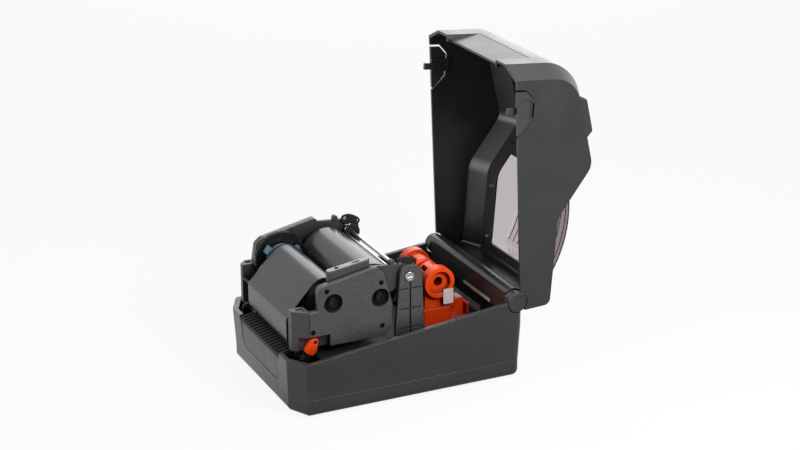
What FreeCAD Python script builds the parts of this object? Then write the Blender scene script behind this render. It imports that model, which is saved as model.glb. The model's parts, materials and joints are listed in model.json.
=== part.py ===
# Desktop thermal transfer label printer, shown with its lid open and its ribbon module lowered.
# Millimetres. +X is the printer's right seen from the front, the front faces -Y, the floor is z = 0.
# The origin lies on the floor under the centre of the base.
import FreeCAD, Part
import os
from math import acos, atan2, ceil, cos, degrees, hypot, pi, radians, sin, sqrt, tan

V = FreeCAD.Vector

# Case
case_width = 214.0
case_depth = 278.0
wall = 2.8
draft_inset = 2.2           # how far the base draws in from its rim to its seam
rim_front_height = 63.4
rim_slope = 6.85            # degrees, the rim climbs to the rear
seam_height = 22.0          # where the bottom pan meets the case
corner_run = 25.4           # cut front corners, along X
corner_set = 13.1           # cut front corners, along Y
rear_corner_radius = 11.0
foot_height = 2.0
foot_radius = 8.0
foot_inset = 26.0
pan_edge_radius = 8.0

# Lid
lid_open_angle = 94.4       # degrees from closed
lid_gap = 0.6               # parting gap over the rim
lid_front_setback = 0.5     # base front to lid front
lid_corner_set = 11.9       # cut front corners of the lid, along Y
lid_front_rise = 72.7       # rim to where the top slope meets the base's front plane
lid_slope = 17.4            # degrees
lid_front_radius = 51.0
ridge_from_front = 114.2
ridge_radius = 20.0
descent_slope = 32.7        # degrees
shoulder_rise = 71.1        # rim to the rear shoulders
shoulder_radius = 30.0
hinge_setback = 8.3
hinge_drop = 2.8
barrel_radius = 13.0
cap_radius = 11.5
cap_thickness = 3.0
hinge_pin_radius = 4.0
knuckle_width = 9.2

lid_crown = 13.0            # rise of the lid's roof between its bevelled sides

# Window bubble of the lid
drum_radius = 148.0
drum_top_rise = 117.0       # rim to the top of the bubble
drum_from_rear = 85.6
window_half = 59.0
window_from_front = 144.0
window_length = 116.0       # along Y
bubble_edge_radius = 6.0
pane_thickness = 2.0

# Ribbon and print module
module_side_gap = 27.0      # case side to the outer face of the right plate
plate_thickness = 6.0
frame_thickness = 4.0
gear_cover_depth = 7.0
left_shift = 14.0           # the left wall stands this much further out than the right one
ribbon_end_gap = 14.0       # frame wall to the end of the ribbon
print_line_rise = 1.4       # rim to the print line
take_up_from_front = 57.0
take_up_rise = 55.2         # print line to the take-up axis
take_up_radius = 20.5       # wound film
supply_from_front = 113.0
supply_rise = 52.2
supply_radius = 31.0        # wound film
supply_overhang = 10.0      # how much further the supply roll reaches to the left than the film
ribbon_overhang = 6.0       # how much further the ribbon reaches to the left
spindle_radius = 5.0
core_radius = 13.0
pivot_from_front = 148.2
pivot_rise = 71.2
pivot_pin_radius = 4.0
module_front_setback = 11.4
bar_radius = 2.0
film_thickness = 0.2

# Drive
platen_from_front = 26.0
platen_radius = 8.5
platen_shaft_radius = 3.0
gear_module = 1.0
platen_teeth = 24
idler_teeth = 32
pinion_teeth = 12
gear_width = 6.0
motor_size = 42.0
motor_length = 34.0

# Media bay
deck_height = 44.0
deck_thickness = 3.0
holder_hub_radius = 15.0
holder_ring_radius = 18.5
holder_hub_rise = 58.5      # deck to the hub axis
holder_from_rear = 71.0
holder_travel = 33.0
holder_foot_length = 57.0
holder_arm_x = 26.0         # inner face of the arm at rest
holder_pinion_teeth = 16
slot_width = 66.0
slot_height = 10.0

# Clearances
running_gap = 0.06          # shaft in its bearing, on radius
moving_gap = 0.4            # between pieces that move past each other
lid_room = 1.0              # under the roof of the closed lid
fit_gap = 0.3               # between fixed pieces that drop into place

# Places worked out from the sizes above
side_x = case_width / 2
front_y = -case_depth / 2
rear_y = case_depth / 2
inner_inset = wall + draft_inset
inner_x = side_x - inner_inset
far = 400.0


def rim_z(y):
    return rim_front_height + (y - front_y) * tan(radians(rim_slope))


hinge_y = rear_y - hinge_setback
hinge_z = rim_z(hinge_y) - hinge_drop
pan_floor = foot_height + wall
print_z = rim_front_height + print_line_rise
plate_x = side_x - module_side_gap
frame_x = plate_x - plate_thickness
frame_in_x = frame_x - frame_thickness
ribbon_x = frame_in_x - ribbon_end_gap
ribbon_left_x = -ribbon_x - ribbon_overhang
left_out_x = -frame_x - left_shift
left_in_x = -frame_in_x - left_shift
take_up_y = front_y + take_up_from_front
take_up_z = print_z + take_up_rise
supply_y = front_y + supply_from_front
supply_z = print_z + supply_rise
pivot_y = front_y + pivot_from_front
pivot_z = print_z + pivot_rise
module_front_y = front_y + module_front_setback
platen_y = front_y + platen_from_front
platen_z = print_z - platen_radius - moving_gap
hub_y = rear_y - holder_from_rear
hub_z = deck_height + holder_hub_rise
drum_y = rear_y - drum_from_rear
lid_front_y = front_y + lid_front_setback
drum_z = rim_front_height + drum_top_rise - drum_radius
barrel_x = side_x - cap_thickness - moving_gap - knuckle_width - moving_gap


# Basic solids
def box(x0, x1, y0, y1, z0, z1):
    return Part.makeBox(x1 - x0, y1 - y0, z1 - z0, V(x0, y0, z0))


def rod_x(radius, x0, x1, y, z):
    return Part.makeCylinder(radius, x1 - x0, V(x0, y, z), V(1, 0, 0))


def rod_y(radius, y0, y1, x, z):
    return Part.makeCylinder(radius, y1 - y0, V(x, y0, z), V(0, 1, 0))


def rod_z(radius, z0, z1, x, y):
    return Part.makeCylinder(radius, z1 - z0, V(x, y, z0), V(0, 0, 1))


def tube_x(outer, inner, x0, x1, y, z):
    return rod_x(outer, x0, x1, y, z).cut(rod_x(inner, x0 - 1, x1 + 1, y, z))


def placed(axis, level, a, b):
    if axis == "x":
        return V(level, a, b)
    if axis == "y":
        return V(a, level, b)
    return V(a, b, level)


def rounded_wire(points, axis, level):
    # A closed outline of (a, b) or (a, b, radius) corners; a radius rounds its corner with an arc.
    count = len(points)
    ends = []
    for i in range(count):
        corner = placed(axis, level, *points[i][:2])
        radius = points[i][2] if len(points[i]) > 2 else 0.0
        if not radius:
            ends.append((corner, None, corner))
            continue
        to_last = placed(axis, level, *points[i - 1][:2]).sub(corner).normalize()
        to_next = placed(axis, level, *points[(i + 1) % count][:2]).sub(corner).normalize()
        half = to_last.getAngle(to_next) / 2
        reach = radius / tan(half)
        middle = to_last.add(to_next).normalize()
        mid = corner.add(middle.multiply(radius / sin(half) - radius))
        ends.append((corner.add(to_last.multiply(reach)), mid, corner.add(to_next.multiply(reach))))
    edges = []
    for i in range(count):
        first, mid, last = ends[i]
        if mid:
            edges.append(Part.Arc(first, mid, last).toShape())
        after = ends[(i + 1) % count][0]
        if last.distanceToPoint(after) > 1e-6:
            edges.append(Part.LineSegment(last, after).toShape())
    return Part.Wire(edges)


def prism(points, axis, low, high):
    run = {"x": V(high - low, 0, 0), "y": V(0, high - low, 0), "z": V(0, 0, high - low)}[axis]
    return Part.Face(rounded_wire(points, axis, low)).extrude(run)


def fused(shapes):
    whole = shapes[0]
    for shape in shapes[1:]:
        whole = whole.fuse(shape)
    return whole.removeSplitter()


def mirrored(shape):
    return shape.mirror(V(0, 0, 0), V(1, 0, 0))


def pair(shape):
    return Part.makeCompound([shape, mirrored(shape)])


def left_of_module(shape):
    # The module's left side is a mirror image that stands further out.
    copy = mirrored(shape)
    copy.translate(V(-left_shift, 0, 0))
    return copy


def module_pair(shape):
    return Part.makeCompound([shape, left_of_module(shape)])


def gear_face(teeth, phase, turn):
    # Straight-flanked teeth; turn(radius, angle) places a point of the outline.
    pitch = gear_module * teeth / 2
    root = pitch - 1.15 * gear_module
    tip = pitch + 0.85 * gear_module
    step = 2 * pi / teeth
    points = []
    for i in range(teeth):
        middle = phase + i * step
        points.append(turn(root, middle - 0.28 * step))
        points.append(turn(tip, middle - 0.12 * step))
        points.append(turn(tip, middle + 0.12 * step))
        points.append(turn(root, middle + 0.28 * step))
    return Part.Face(Part.makePolygon(points + points[:1]))


def gear_x(teeth, phase, x0, x1, y, z):
    face = gear_face(teeth, phase, lambda r, a: V(x0, y + r * cos(a), z + r * sin(a)))
    return face.extrude(V(x1 - x0, 0, 0))


# Case
def plan(inset):
    half = side_x - inset
    corner = rear_corner_radius - inset
    return [
        (-half + corner_run, front_y + inset),
        (half - corner_run, front_y + inset),
        (half, front_y + corner_set + inset),
        (half, rear_y - inset, corner),
        (-half, rear_y - inset, corner),
        (-half, front_y + corner_set + inset),
    ]


def above_rim(rise):
    low, high = front_y - 60, rear_y + 60
    outline = [(low, rim_z(low) + rise), (high, rim_z(high) + rise), (high, far), (low, far)]
    return prism(outline, "x", -far, far)


def below_rim(rise):
    low, high = front_y - 60, rear_y + 60
    outline = [(low, -far), (high, -far), (high, rim_z(high) + rise), (low, rim_z(low) + rise)]
    return prism(outline, "x", -far, far)


ledge_half = ribbon_x + 3.5
ledge_low = rim_front_height - 6.4
ledge_depth = 16.0
panel_half = ribbon_x
panel_low = seam_height + 6.0
panel_high = ledge_low - fit_gap
panel_recess = 1.6
panel_corner = 12.0
slot_top = hinge_z - barrel_radius - 3.5
io_low = seam_height + 3.5
io_high = io_low + 15.5
io_left = -32.0
io_right = 92.0
latch_front_y = front_y + corner_set + 12.4
latch_length = 49.4
latch_height = 21.5
hook_y = latch_front_y + 18.7
hook_width = 7.5
hook_reach = 9.0
hook_lip = 1.3


def front_recess(grow):
    return [
        (-panel_half - grow, panel_low - grow, panel_corner + grow),
        (panel_half + grow, panel_low - grow, panel_corner + grow),
        (panel_half + grow, panel_high + grow),
        (-panel_half - grow, panel_high + grow),
    ]


def wall_front_y(z):
    drawn = draft_inset * (rim_front_height - z) / (rim_front_height - seam_height)
    return front_y + drawn


def hook_pocket():
    bottom = rim_z(hook_y) - hook_reach - 1.0
    front, rear = hook_y - 1, hook_y + hook_width + 1
    return box(inner_x - 1, inner_x + hook_lip + 0.6, front, rear, bottom, bottom + 5)


def base_case():
    low = rounded_wire(plan(draft_inset), "z", seam_height)
    high = rounded_wire(plan(0), "z", rim_front_height)
    body = Part.makeLoft([low, high], True, True)
    body = body.fuse(prism(plan(0), "z", rim_front_height, far))
    body = body.cut(above_rim(0)).cut(prism(plan(inner_inset), "z", 0, far))
    # shelf behind the front wall, under the lid's front edge
    shelf = box(-side_x + corner_run, side_x - corner_run, front_y + 3, lid_front_y + wall + 1,
                rim_front_height - 6, rim_front_height)
    body = body.fuse(shelf)
    # groove along the side rims
    groove = prism(plan(1.6), "z", 0, far).cut(prism(plan(2.8), "z", -1, far + 1))
    groove = groove.common(above_rim(-2.0)).common(box(-far, far, front_y + 45, hinge_y - 20, 0, far))
    body = body.cut(groove)
    # the lid's rear edge swings down past the rear wall
    body = body.cut(box(-far, far, hinge_y + 3, far, hinge_z - barrel_radius, far))
    # hinge barrel with a flat front, on a rib along the rear wall
    flat = hinge_y - 9.2
    barrel = rod_x(barrel_radius, -barrel_x, barrel_x, hinge_y, hinge_z)
    barrel = barrel.cut(box(-far, far, -far, flat, 0, far))
    rib = box(-barrel_x, barrel_x, flat, rear_y - inner_inset + 1, slot_top, hinge_z)
    round_notch = rod_x(cap_radius + 0.9, barrel_x + moving_gap / 2, side_x + 1, hinge_y, hinge_z)
    body = body.cut(pair(round_notch))
    body = fused([body, rib, barrel])
    pin_bore = rod_x(hinge_pin_radius, barrel_x - 10, barrel_x + 1, hinge_y, hinge_z)
    body = body.cut(pair(pin_bore))
    # fan-fold slot, connector window, panel recess, ledge seat
    body = body.cut(box(-slot_width / 2, slot_width / 2, flat - 5, far, slot_top - slot_height, slot_top))
    body = body.cut(box(io_left + 2, io_right - 2, rear_y - 20, far, io_low, io_high))
    recess_y = wall_front_y(panel_low) + panel_recess
    body = body.cut(prism(front_recess(0.7), "y", front_y - 5, recess_y))
    ledge_room = ledge_half + fit_gap
    body = body.cut(box(-ledge_room, ledge_room, front_y - 1, front_y + 20, ledge_low, far))
    return body.cut(pair(hook_pocket()))


def bottom_pan():
    body = prism(plan(draft_inset), "z", foot_height, seam_height)
    low_edges = [e for e in body.Edges if e.BoundBox.ZMax < foot_height + 0.1]
    body = body.makeFillet(pan_edge_radius, low_edges)
    body = body.cut(prism(plan(inner_inset), "z", pan_floor, seam_height + 1))
    posts = [rod_z(4.0, pan_floor - 1, board_z, x, y) for x, y in board_posts()]
    posts += [rod_z(5.0, pan_floor - 1, deck_height - deck_thickness, x, y) for x, y in deck_posts()]
    body = fused([body] + posts)
    for x, y in feet_places():
        body = body.cut(rod_z(foot_radius + 0.2, foot_height - 1, foot_height + 1, x, y))
    for x, y in leg_places():
        body = body.cut(rod_z(screw_radius, foot_height - 1, pan_floor + 1, x, y))
        sink = rod_z(screw_head_radius + fit_gap, foot_height - 1, foot_height + screw_head_height, x, y)
        body = body.cut(sink)
    return body


screw_radius = 1.5
screw_head_radius = 2.7
screw_head_height = 1.7
board_z = 26.0
board_left = -10.0
board_front = rear_y - 118.0
board_rear = rear_y - inner_inset - 3.0
step_y = pivot_y - 17.2
platform_top = print_z - 3.8


def board_posts():
    inset = 5.0
    across = (board_left + inset, inner_x - 8 - inset)
    along = (board_front + inset, board_rear - 14)
    return [(x, y) for x in across for y in along]


def deck_posts():
    return [(-inner_x + 9, step_y + 24), (-inner_x + 9, rear_y - 24), (-inner_x + 54, rear_y - 24)]


def leg_places():
    x = frame_in_x + 5
    front, rear = front_y + 47, step_y - 9
    return [(x, front), (x, rear), (-x, rear), (-20, front)]


def feet_places():
    return [(sx * (side_x - foot_inset), sy * (rear_y - foot_inset)) for sx in (-1, 1) for sy in (-1, 1)]


def rubber_feet():
    return Part.makeCompound([rod_z(foot_radius, 0, foot_height + 1, x, y) for x, y in feet_places()])


def front_panel():
    back = wall_front_y(panel_low) + panel_recess
    plate = prism(front_recess(0), "y", front_y - 5, back)
    skin = wall_front_y(panel_low) + 0.2
    plate = plate.cut(box(-far, far, -far, front_y + 0.6, -far, far))
    lean = prism(
        [
            (-far, -far), (skin, -far), (skin, panel_low),
            (wall_front_y(panel_high) + 0.5, panel_high + 1), (-far, far),
        ],
        "x", -far, far,
    )
    return plate.cut(lean)


def tear_ledge():
    front = front_y + 0.4
    rear = front_y + ledge_depth
    rise = 3.0
    high = rim_front_height - 1.0
    rib_height = 1.3
    low_top = high - rib_height
    body = prism(
        [(front, ledge_low), (rear, ledge_low), (rear, low_top + rise), (front, low_top)],
        "x", -ledge_half, ledge_half,
    )
    rib_count = 17
    pitch = 2 * ledge_half / rib_count
    rib = [
        (front + 0.5, high - rib_height - 1), (rear, high + rise - rib_height - 1),
        (rear, high + rise), (front + 0.5, high),
    ]
    for i in range(rib_count):
        x = -ledge_half + (i + 0.5) * pitch
        body = body.fuse(prism(rib, "x", x - pitch * 0.28, x + pitch * 0.28))
    return body.removeSplitter()


def hinge_pins():
    start = barrel_x - 10
    shaft = rod_x(hinge_pin_radius, start, side_x - cap_thickness + 0.5, hinge_y, hinge_z)
    cap = rod_x(cap_radius, side_x - cap_thickness, side_x, hinge_y, hinge_z)
    rim = [e for e in cap.Edges if e.BoundBox.XMin > side_x - 0.1]
    return pair(fused([shaft, cap.makeFillet(0.8, rim)]))


# Media bay
lane_gap = gear_module * holder_pinion_teeth / 2
rack_depth = 5.5
rack_low = deck_height - deck_thickness - 7.5
rack_high = deck_height - deck_thickness - 1.5
lug_inner = holder_arm_x - 10
lug_outer = holder_arm_x + 3


def lane(side):
    # The right holder's rack runs behind the pinion, the left one's in front of it.
    near = hub_y + side * (lane_gap + 1.2 * gear_module)
    return sorted((near, near + side * rack_depth))


def media_deck():
    half = inner_x - fit_gap
    rear = rear_y - inner_inset - fit_gap
    floor = prism(
        [(-half, step_y), (half, step_y), (half, rear, 5.0), (-half, rear, 5.0)],
        "z", deck_height - deck_thickness, deck_height,
    )
    step = box(-half, half, step_y - deck_thickness, step_y, deck_height - deck_thickness, platform_top)
    platform_front = front_y + 39.0
    platform = box(-half, half, platform_front, step_y, platform_top - deck_thickness, platform_top)
    gear_bay = box(-half - 1, -gear_plate_x + 1, platform_front - 1, step_y - 30, 0, far)
    legs = [rod_z(5.0, pan_floor, platform_top - 1, x, y) for x, y in leg_places()]
    body = fused([floor, step, platform.cut(gear_bay)] + legs)
    for x, y in leg_places():
        body = body.cut(rod_z(screw_radius, pan_floor - 1, pan_floor + 10, x, y))
    for side in (-1, 1):
        low, high = lane(side)
        ends = sorted((side * (lug_inner - 1), side * (lug_outer + holder_travel + 1)))
        body = body.cut(box(*ends, low - moving_gap, high + moving_gap, 0, deck_height + 1))
    body = body.cut(rod_z(screw_radius, 0, deck_height - 1, 0, hub_y))
    sensor_low, sensor_high = sensor_span()
    sensor_room = sensor_half + fit_gap
    body = body.cut(box(-sensor_room, sensor_room, sensor_low - fit_gap, sensor_high + fit_gap,
                        platform_top - 1.5, far))
    for x, y in bracket_screw_places():
        body = body.cut(rod_z(screw_radius, deck_height - deck_thickness - 1, deck_height + 1, x, y))
    # room for the connector plate and for the latch hooks
    body = body.cut(box(io_left - 1, io_right + 1, io_plate_y - io_plate_thickness - fit_gap, far, 0, far))
    hook_room = box(inner_x - 6, far, hook_y - 2, hook_y + hook_width + 2, 0, far)
    return body.cut(pair(hook_room))


sensor_half = 9.0


def sensor_span():
    return platen_y + 18, platen_y + 30


def media_sensor():
    low, high = sensor_span()
    body = box(-sensor_half, sensor_half, low, high, platform_top - 1.5, platform_top + 0.6)
    for x in (-4, 4):
        body = body.cut(rod_z(1.2, platform_top - 0.2, far, x, (low + high) / 2))
    return body


def rack(side):
    # Teeth stand in a row towards the pinion, with a gap between teeth at the middle of the machine.
    low, high = lane(side)
    pitch = pi * gear_module
    far_end = -side * 45
    near_end = side * lug_outer
    bar = box(*sorted((far_end, near_end)), low, high, rack_low, rack_high)
    face_y = low if side > 0 else high
    tip_y = face_y - side * 1.95 * gear_module
    teeth = []
    start = min(far_end, near_end) + pitch
    stop = max(far_end, near_end) - pitch
    for i in range(ceil(start / pitch), int(stop // pitch)):
        x = (i + 0.5) * pitch
        root_half, tip_half = 0.28 * pitch, 0.12 * pitch
        outline = [
            (x - root_half, face_y), (x - tip_half, tip_y),
            (x + tip_half, tip_y), (x + root_half, face_y),
        ]
        teeth.append(prism(outline, "z", rack_low, rack_high))
    return fused([bar] + teeth)


def media_holder(side):
    # Built for the right side and mirrored; only the rack's lane differs.
    low, high = lane(side)
    foot_low = deck_height + moving_gap / 2
    foot_high = deck_height + 26.0
    foot_front = hub_y - 18.0
    foot_rear = foot_front + holder_foot_length
    foot_out = holder_arm_x + 8.0
    arm_out = holder_arm_x + 6.0
    foot = box(lug_inner, foot_out, foot_front, foot_rear, foot_low, foot_high)
    hollow = box(lug_inner + 2.5, foot_out + 1, foot_rear - 24, foot_rear - 3,
                 foot_low + 12, foot_high + 1)
    high_step = box(lug_inner + 4, foot_out - 6, foot_rear - 26, foot_rear - 4,
                    foot_high - 14, foot_high + 5)
    arm = prism(
        [
            (foot_front + 1, foot_high - 1), (hub_y + 22, foot_high - 1),
            (hub_y + 15, hub_z, 4.0), (hub_y - 15, hub_z, 4.0),
        ],
        "x", holder_arm_x, arm_out,
    )
    disc = rod_x(holder_ring_radius, holder_arm_x, arm_out, hub_y, hub_z)
    ring = tube_x(holder_ring_radius, holder_ring_radius - 5, arm_out, arm_out + 5, hub_y, hub_z)
    hub = rod_x(holder_hub_radius, 3.0, holder_arm_x + 1, hub_y, hub_z)
    tip = [e for e in hub.Edges if e.BoundBox.XMax < 3.1]
    hub = hub.makeChamfer(2.0, tip)
    body = fused([foot.cut(hollow), high_step, arm, disc, ring, hub])
    body = body.cut(rod_x(5.5, 0, far, hub_y, hub_z))
    pockets = [box(8, holder_arm_x - 2, y - 2.2, y + 2.2, 0, far) for y in (hub_y - 9, hub_y + 9)]
    body = body.cut(fused(pockets).common(rod_x(holder_hub_radius + 1, 8, holder_arm_x, hub_y, hub_z)))
    if side < 0:
        body = mirrored(body)
    lug_ends = sorted((side * lug_inner, side * lug_outer))
    lug = box(*lug_ends, low, high, rack_high - 1, foot_low + 1)
    return fused([body, lug, rack(side)])


def holder_pinion():
    face = gear_face(holder_pinion_teeth, pi / 2, lambda r, a: V(r * cos(a), hub_y + r * sin(a), rack_low))
    body = face.extrude(V(0, 0, rack_high - rack_low))
    return body.cut(rod_z(3.0 + running_gap, 0, far, 0, hub_y))


bracket_out = plate_x
bracket_thickness = 4.5
bracket_in = bracket_out - bracket_thickness
bracket_flange = 9.0


def bracket_screw_places():
    x = bracket_in - bracket_flange / 2
    return [(side, pivot_y + dy) for side in (x, -x - left_shift) for dy in (-9, 12)]


def pivot_bracket():
    front = step_y + 0.5
    rear = pivot_y + 18.3
    top = pivot_z + 12.5
    shoulder = deck_height + 31
    plate = prism(
        [
            (front, deck_height), (rear, deck_height), (rear, shoulder),
            (pivot_y + 14, top, 10.0), (pivot_y - 10.5, top, 9.0), (front, shoulder + 2),
        ],
        "x", bracket_in, bracket_out,
    )
    grid_top = pivot_z - 14
    groove = 1.8
    depth = 1.6
    row = (grid_top - shoulder) / 2
    upright = pivot_y + 1 - groove / 2
    cuts = [box(bracket_out - depth, far, upright, upright + groove, deck_height + 8, pivot_z - 6)]
    for i in range(3):
        z = shoulder + i * row - groove / 2
        cuts.append(box(bracket_out - depth, far, front + 5, rear - 4, z, z + groove))
    counter = rod_x(6.2, bracket_out - 1.5, far, pivot_y, pivot_z)
    bore = rod_x(pivot_pin_radius, 0, far, pivot_y, pivot_z)
    plate = plate.cut(fused(cuts)).cut(counter).cut(bore)
    flange = box(bracket_in - bracket_flange, bracket_in, front, rear, deck_height, deck_height + 3)
    body = fused([plate, flange])
    for x, y in bracket_screw_places():
        body = body.cut(rod_z(screw_radius, 0, far, x, y))
    return body


cap_in = frame_in_x - 9.5
cap_out = cap_in + 2.0
spring_hub_radius = 6.5


def pivot_pins():
    shaft = rod_x(pivot_pin_radius, cap_out + moving_gap, bracket_out, pivot_y, pivot_z)
    head = rod_x(5.6, bracket_out - 1.5, bracket_out + 1.5, pivot_y, pivot_z)
    rim = [e for e in head.Edges if e.BoundBox.XMin > bracket_out + 1.4]
    head = head.makeFillet(0.7, rim)
    cross = fused([
        box(bracket_out + 0.6, far, pivot_y - 3, pivot_y + 3, pivot_z - 0.6, pivot_z + 0.6),
        box(bracket_out + 0.6, far, pivot_y - 0.6, pivot_y + 0.6, pivot_z - 3, pivot_z + 3),
    ])
    return module_pair(fused([shaft, head]).cut(cross))


def spring_caps():
    # Hub that carries the lift spring, with a collar and a fan-shaped flag with two holes.
    flag = prism(
        [
            (pivot_y - 10.5, pivot_z + 11, 2.0), (pivot_y + 6.3, pivot_z + 3),
            (pivot_y + 14, pivot_z + 9.5, 3.5), (pivot_y + 9.5, pivot_z + 17, 8.0),
            (pivot_y - 1, pivot_z + 20, 10.0), (pivot_y - 10.5, pivot_z + 19.5, 4.5),
        ],
        "x", frame_in_x - 2.2, frame_in_x,
    )
    collar = rod_x(9.5, cap_in, cap_out, pivot_y, pivot_z)
    hub = rod_x(spring_hub_radius, cap_in, frame_in_x, pivot_y, pivot_z)
    body = fused([flag, collar, hub])
    for dy, dz in ((-6.2, 15.4), (9.2, 9.6)):
        body = body.cut(rod_x(2.2, 0, far, pivot_y + dy, pivot_z + dz))
    cap = body.cut(rod_x(pivot_pin_radius + running_gap, cap_out, far, pivot_y, pivot_z))
    return Part.makeCompound([under_lid(cap), under_lid(left_of_module(cap))])


def lift_spring():
    # Torsion spring round the hub: quarter-turn arcs between two straight legs.
    wire_radius = 0.55
    coil_radius = spring_hub_radius + 0.45 + wire_radius
    turns = 2.25
    pitch = 1.6
    start_x = cap_out + wire_radius + 0.3
    leg = 7.0

    def point(turn):
        angle = 2 * pi * turn
        dy, dz = coil_radius * cos(angle), coil_radius * sin(angle)
        return V(start_x + pitch * turn, pivot_y + dy, pivot_z + dz)

    quarters = int(turns * 4)
    edges = [Part.LineSegment(point(0).add(V(0, 0, -leg)), point(0)).toShape()]
    for i in range(quarters):
        edges.append(Part.Arc(point(i / 4), point((i + 0.5) / 4), point((i + 1) / 4)).toShape())
    end = point(turns)
    edges.append(Part.LineSegment(end, end.add(V(0, -leg, 0))).toShape())
    ring = Part.Wire([Part.makeCircle(wire_radius, point(0).add(V(0, 0, -leg)), V(0, 0, 1))])
    coil = Part.Wire(edges).makePipeShell([ring], True, False)
    print("lift spring: gap between turns %.2f mm" % (pitch - 2 * wire_radius))
    return module_pair(coil)


# Drive train on the left of the base
gear_out_x = inner_x - 12.0
gear_in_x = gear_out_x - gear_width
gear_plate_x = gear_in_x - 3.5
motor_y = platen_y + 34.0
motor_z = pan_floor + motor_size / 2 + 3.0


def pitch_radius(teeth):
    return gear_module * teeth / 2


def idler_centre():
    # Where the idler meshes with both the motor pinion and the platen gear.
    mesh_gap = 0.1
    a = pitch_radius(pinion_teeth) + pitch_radius(idler_teeth) + mesh_gap
    b = pitch_radius(platen_teeth) + pitch_radius(idler_teeth) + mesh_gap
    dy, dz = platen_y - motor_y, platen_z - motor_z
    apart = hypot(dy, dz)
    along = (a * a - b * b + apart * apart) / (2 * apart)
    aside = sqrt(max(a * a - along * along, 0.0))
    return motor_y + (along * dy + aside * dz) / apart, motor_z + (along * dz - aside * dy) / apart


idler_y, idler_z = idler_centre()


def meshing_phase(phase, teeth, y, z, other_teeth, other_y, other_z):
    # The other gear's phase that puts its gap where this gear has a tooth.
    angle = atan2(other_z - z, other_y - y)
    share = ((angle - phase) * teeth / (2 * pi)) % 1
    return angle + pi + (share + 0.5) * 2 * pi / other_teeth


platen_phase = 0.0
idler_phase = meshing_phase(platen_phase, platen_teeth, platen_y, platen_z, idler_teeth, idler_y, idler_z)
pinion_phase = meshing_phase(idler_phase, idler_teeth, idler_y, idler_z, pinion_teeth, motor_y, motor_z)
idler_stud_radius = 3.0
motor_shaft_radius = 2.5


def platen_gear():
    body = gear_x(platen_teeth, platen_phase, -gear_out_x, -gear_in_x, platen_y, platen_z)
    return body.cut(rod_x(platen_shaft_radius, -far, far, platen_y, platen_z))


def idler_gear():
    body = gear_x(idler_teeth, idler_phase, -gear_out_x, -gear_in_x, idler_y, idler_z)
    return body.cut(rod_x(idler_stud_radius + running_gap, -far, far, idler_y, idler_z))


def motor_pinion():
    body = gear_x(pinion_teeth, pinion_phase, -gear_out_x, -gear_in_x, motor_y, motor_z)
    shaft = rod_x(motor_shaft_radius, -gear_in_x - 0.5, -gear_plate_x - 0.5, motor_y, motor_z)
    return fused([body, shaft])


def platen_shaft():
    bush_x = ribbon_x + 4
    return rod_x(platen_shaft_radius, -gear_out_x, bush_x + 5, platen_y, platen_z)


def platen_rubber():
    return tube_x(platen_radius, platen_shaft_radius, -ribbon_x - 1, ribbon_x + 1, platen_y, platen_z)


bush_radius = 5.0
cheek_x = ribbon_x + 3.0
cheek_thickness = 3.0


def platen_frame():
    base_z = platen_z - 15
    front = platen_y - 8.0
    rear = platen_y + 12.0
    cheek = prism(
        [(front, base_z), (rear, base_z), (rear, platen_z + 2, 3.0), (platen_y + 7, platen_z + 6.5, 3.0),
         (platen_y - 7, platen_z + 6.5, 3.0), (front, platen_z + 2, 3.0)],
        "x", cheek_x, cheek_x + cheek_thickness,
    )
    cheek = cheek.cut(rod_x(bush_radius, 0, far, platen_y, platen_z))
    out = cheek_x + cheek_thickness
    floor = box(-out, out, front, rear, base_z - 2, base_z)
    legs = [rod_z(4.0, pan_floor, base_z - 1, sx * (cheek_x - 8), platen_y + 2) for sx in (-1, 1)]
    return fused([floor, cheek, mirrored(cheek)] + legs)


def platen_bushes():
    out = cheek_x + cheek_thickness
    bore = platen_shaft_radius + running_gap
    bush = tube_x(bush_radius, bore, cheek_x, out + 1.5, platen_y, platen_z)
    flange = tube_x(bush_radius + 1.2, bore, out, out + 1.5, platen_y, platen_z)
    return pair(fused([bush, flange]))


def motor_plate():
    # Sheet plate that carries the motor and the idler's stud, with a foot on the pan.
    thick = 2.0
    x0, x1 = -gear_plate_x, -gear_plate_x + thick
    outline = [
        (platen_y - 2, pan_floor), (motor_y + 26, pan_floor), (motor_y + 26, motor_z + 20, 4.0),
        (idler_y - 2, motor_z + 20), (platen_y - 2, platen_z - 14),
    ]
    plate = prism(outline, "x", x0, x1)
    plate = plate.cut(rod_x(11.0, -far, far, motor_y, motor_z))
    foot = box(x0, x1 + 12, motor_y - 20, motor_y + 20, pan_floor, pan_floor + thick)
    stud = rod_x(idler_stud_radius, -gear_out_x - 1.5, x0, idler_y, idler_z)
    clip = rod_x(idler_stud_radius + 1.5, -gear_out_x - 1.5, -gear_out_x - 0.4, idler_y, idler_z)
    return fused([plate, foot, stud, clip])


def drive_motor():
    half = motor_size / 2
    x0 = -gear_plate_x + 2.0
    cut = 4.0
    outline = []
    for sy, sz in ((-1, -1), (1, -1), (1, 1), (-1, 1)):
        first, second = (half, half - cut), (half - cut, half)
        order = (second, first) if sy * sz < 0 else (first, second)
        outline += [(motor_y + sy * a, motor_z + sz * b) for a, b in order]
    body = prism(outline, "x", x0, x0 + motor_length)
    boss = rod_x(10.5, x0 - 1.5, x0, motor_y, motor_z)
    bore = rod_x(motor_shaft_radius + running_gap, -far, x0 + 8, motor_y, motor_z)
    return fused([body, boss]).cut(bore)


# Circuit board and rear connectors
switch_x = -20.0
switch_width = 10.0
switch_height = 10.0
switch_z = io_low + 7.2
io_plate_y = rear_y - inner_inset
io_plate_thickness = 1.5
rocker_pin_radius = 1.2
jack_x = 80.0


def port_sizes():
    # centre x, width, height, name order: data, network, serial
    return [(6.0, 12.0, 11.0), (26.0, 16.0, 12.5), (55.0, 31.0, 12.0)]


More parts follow.
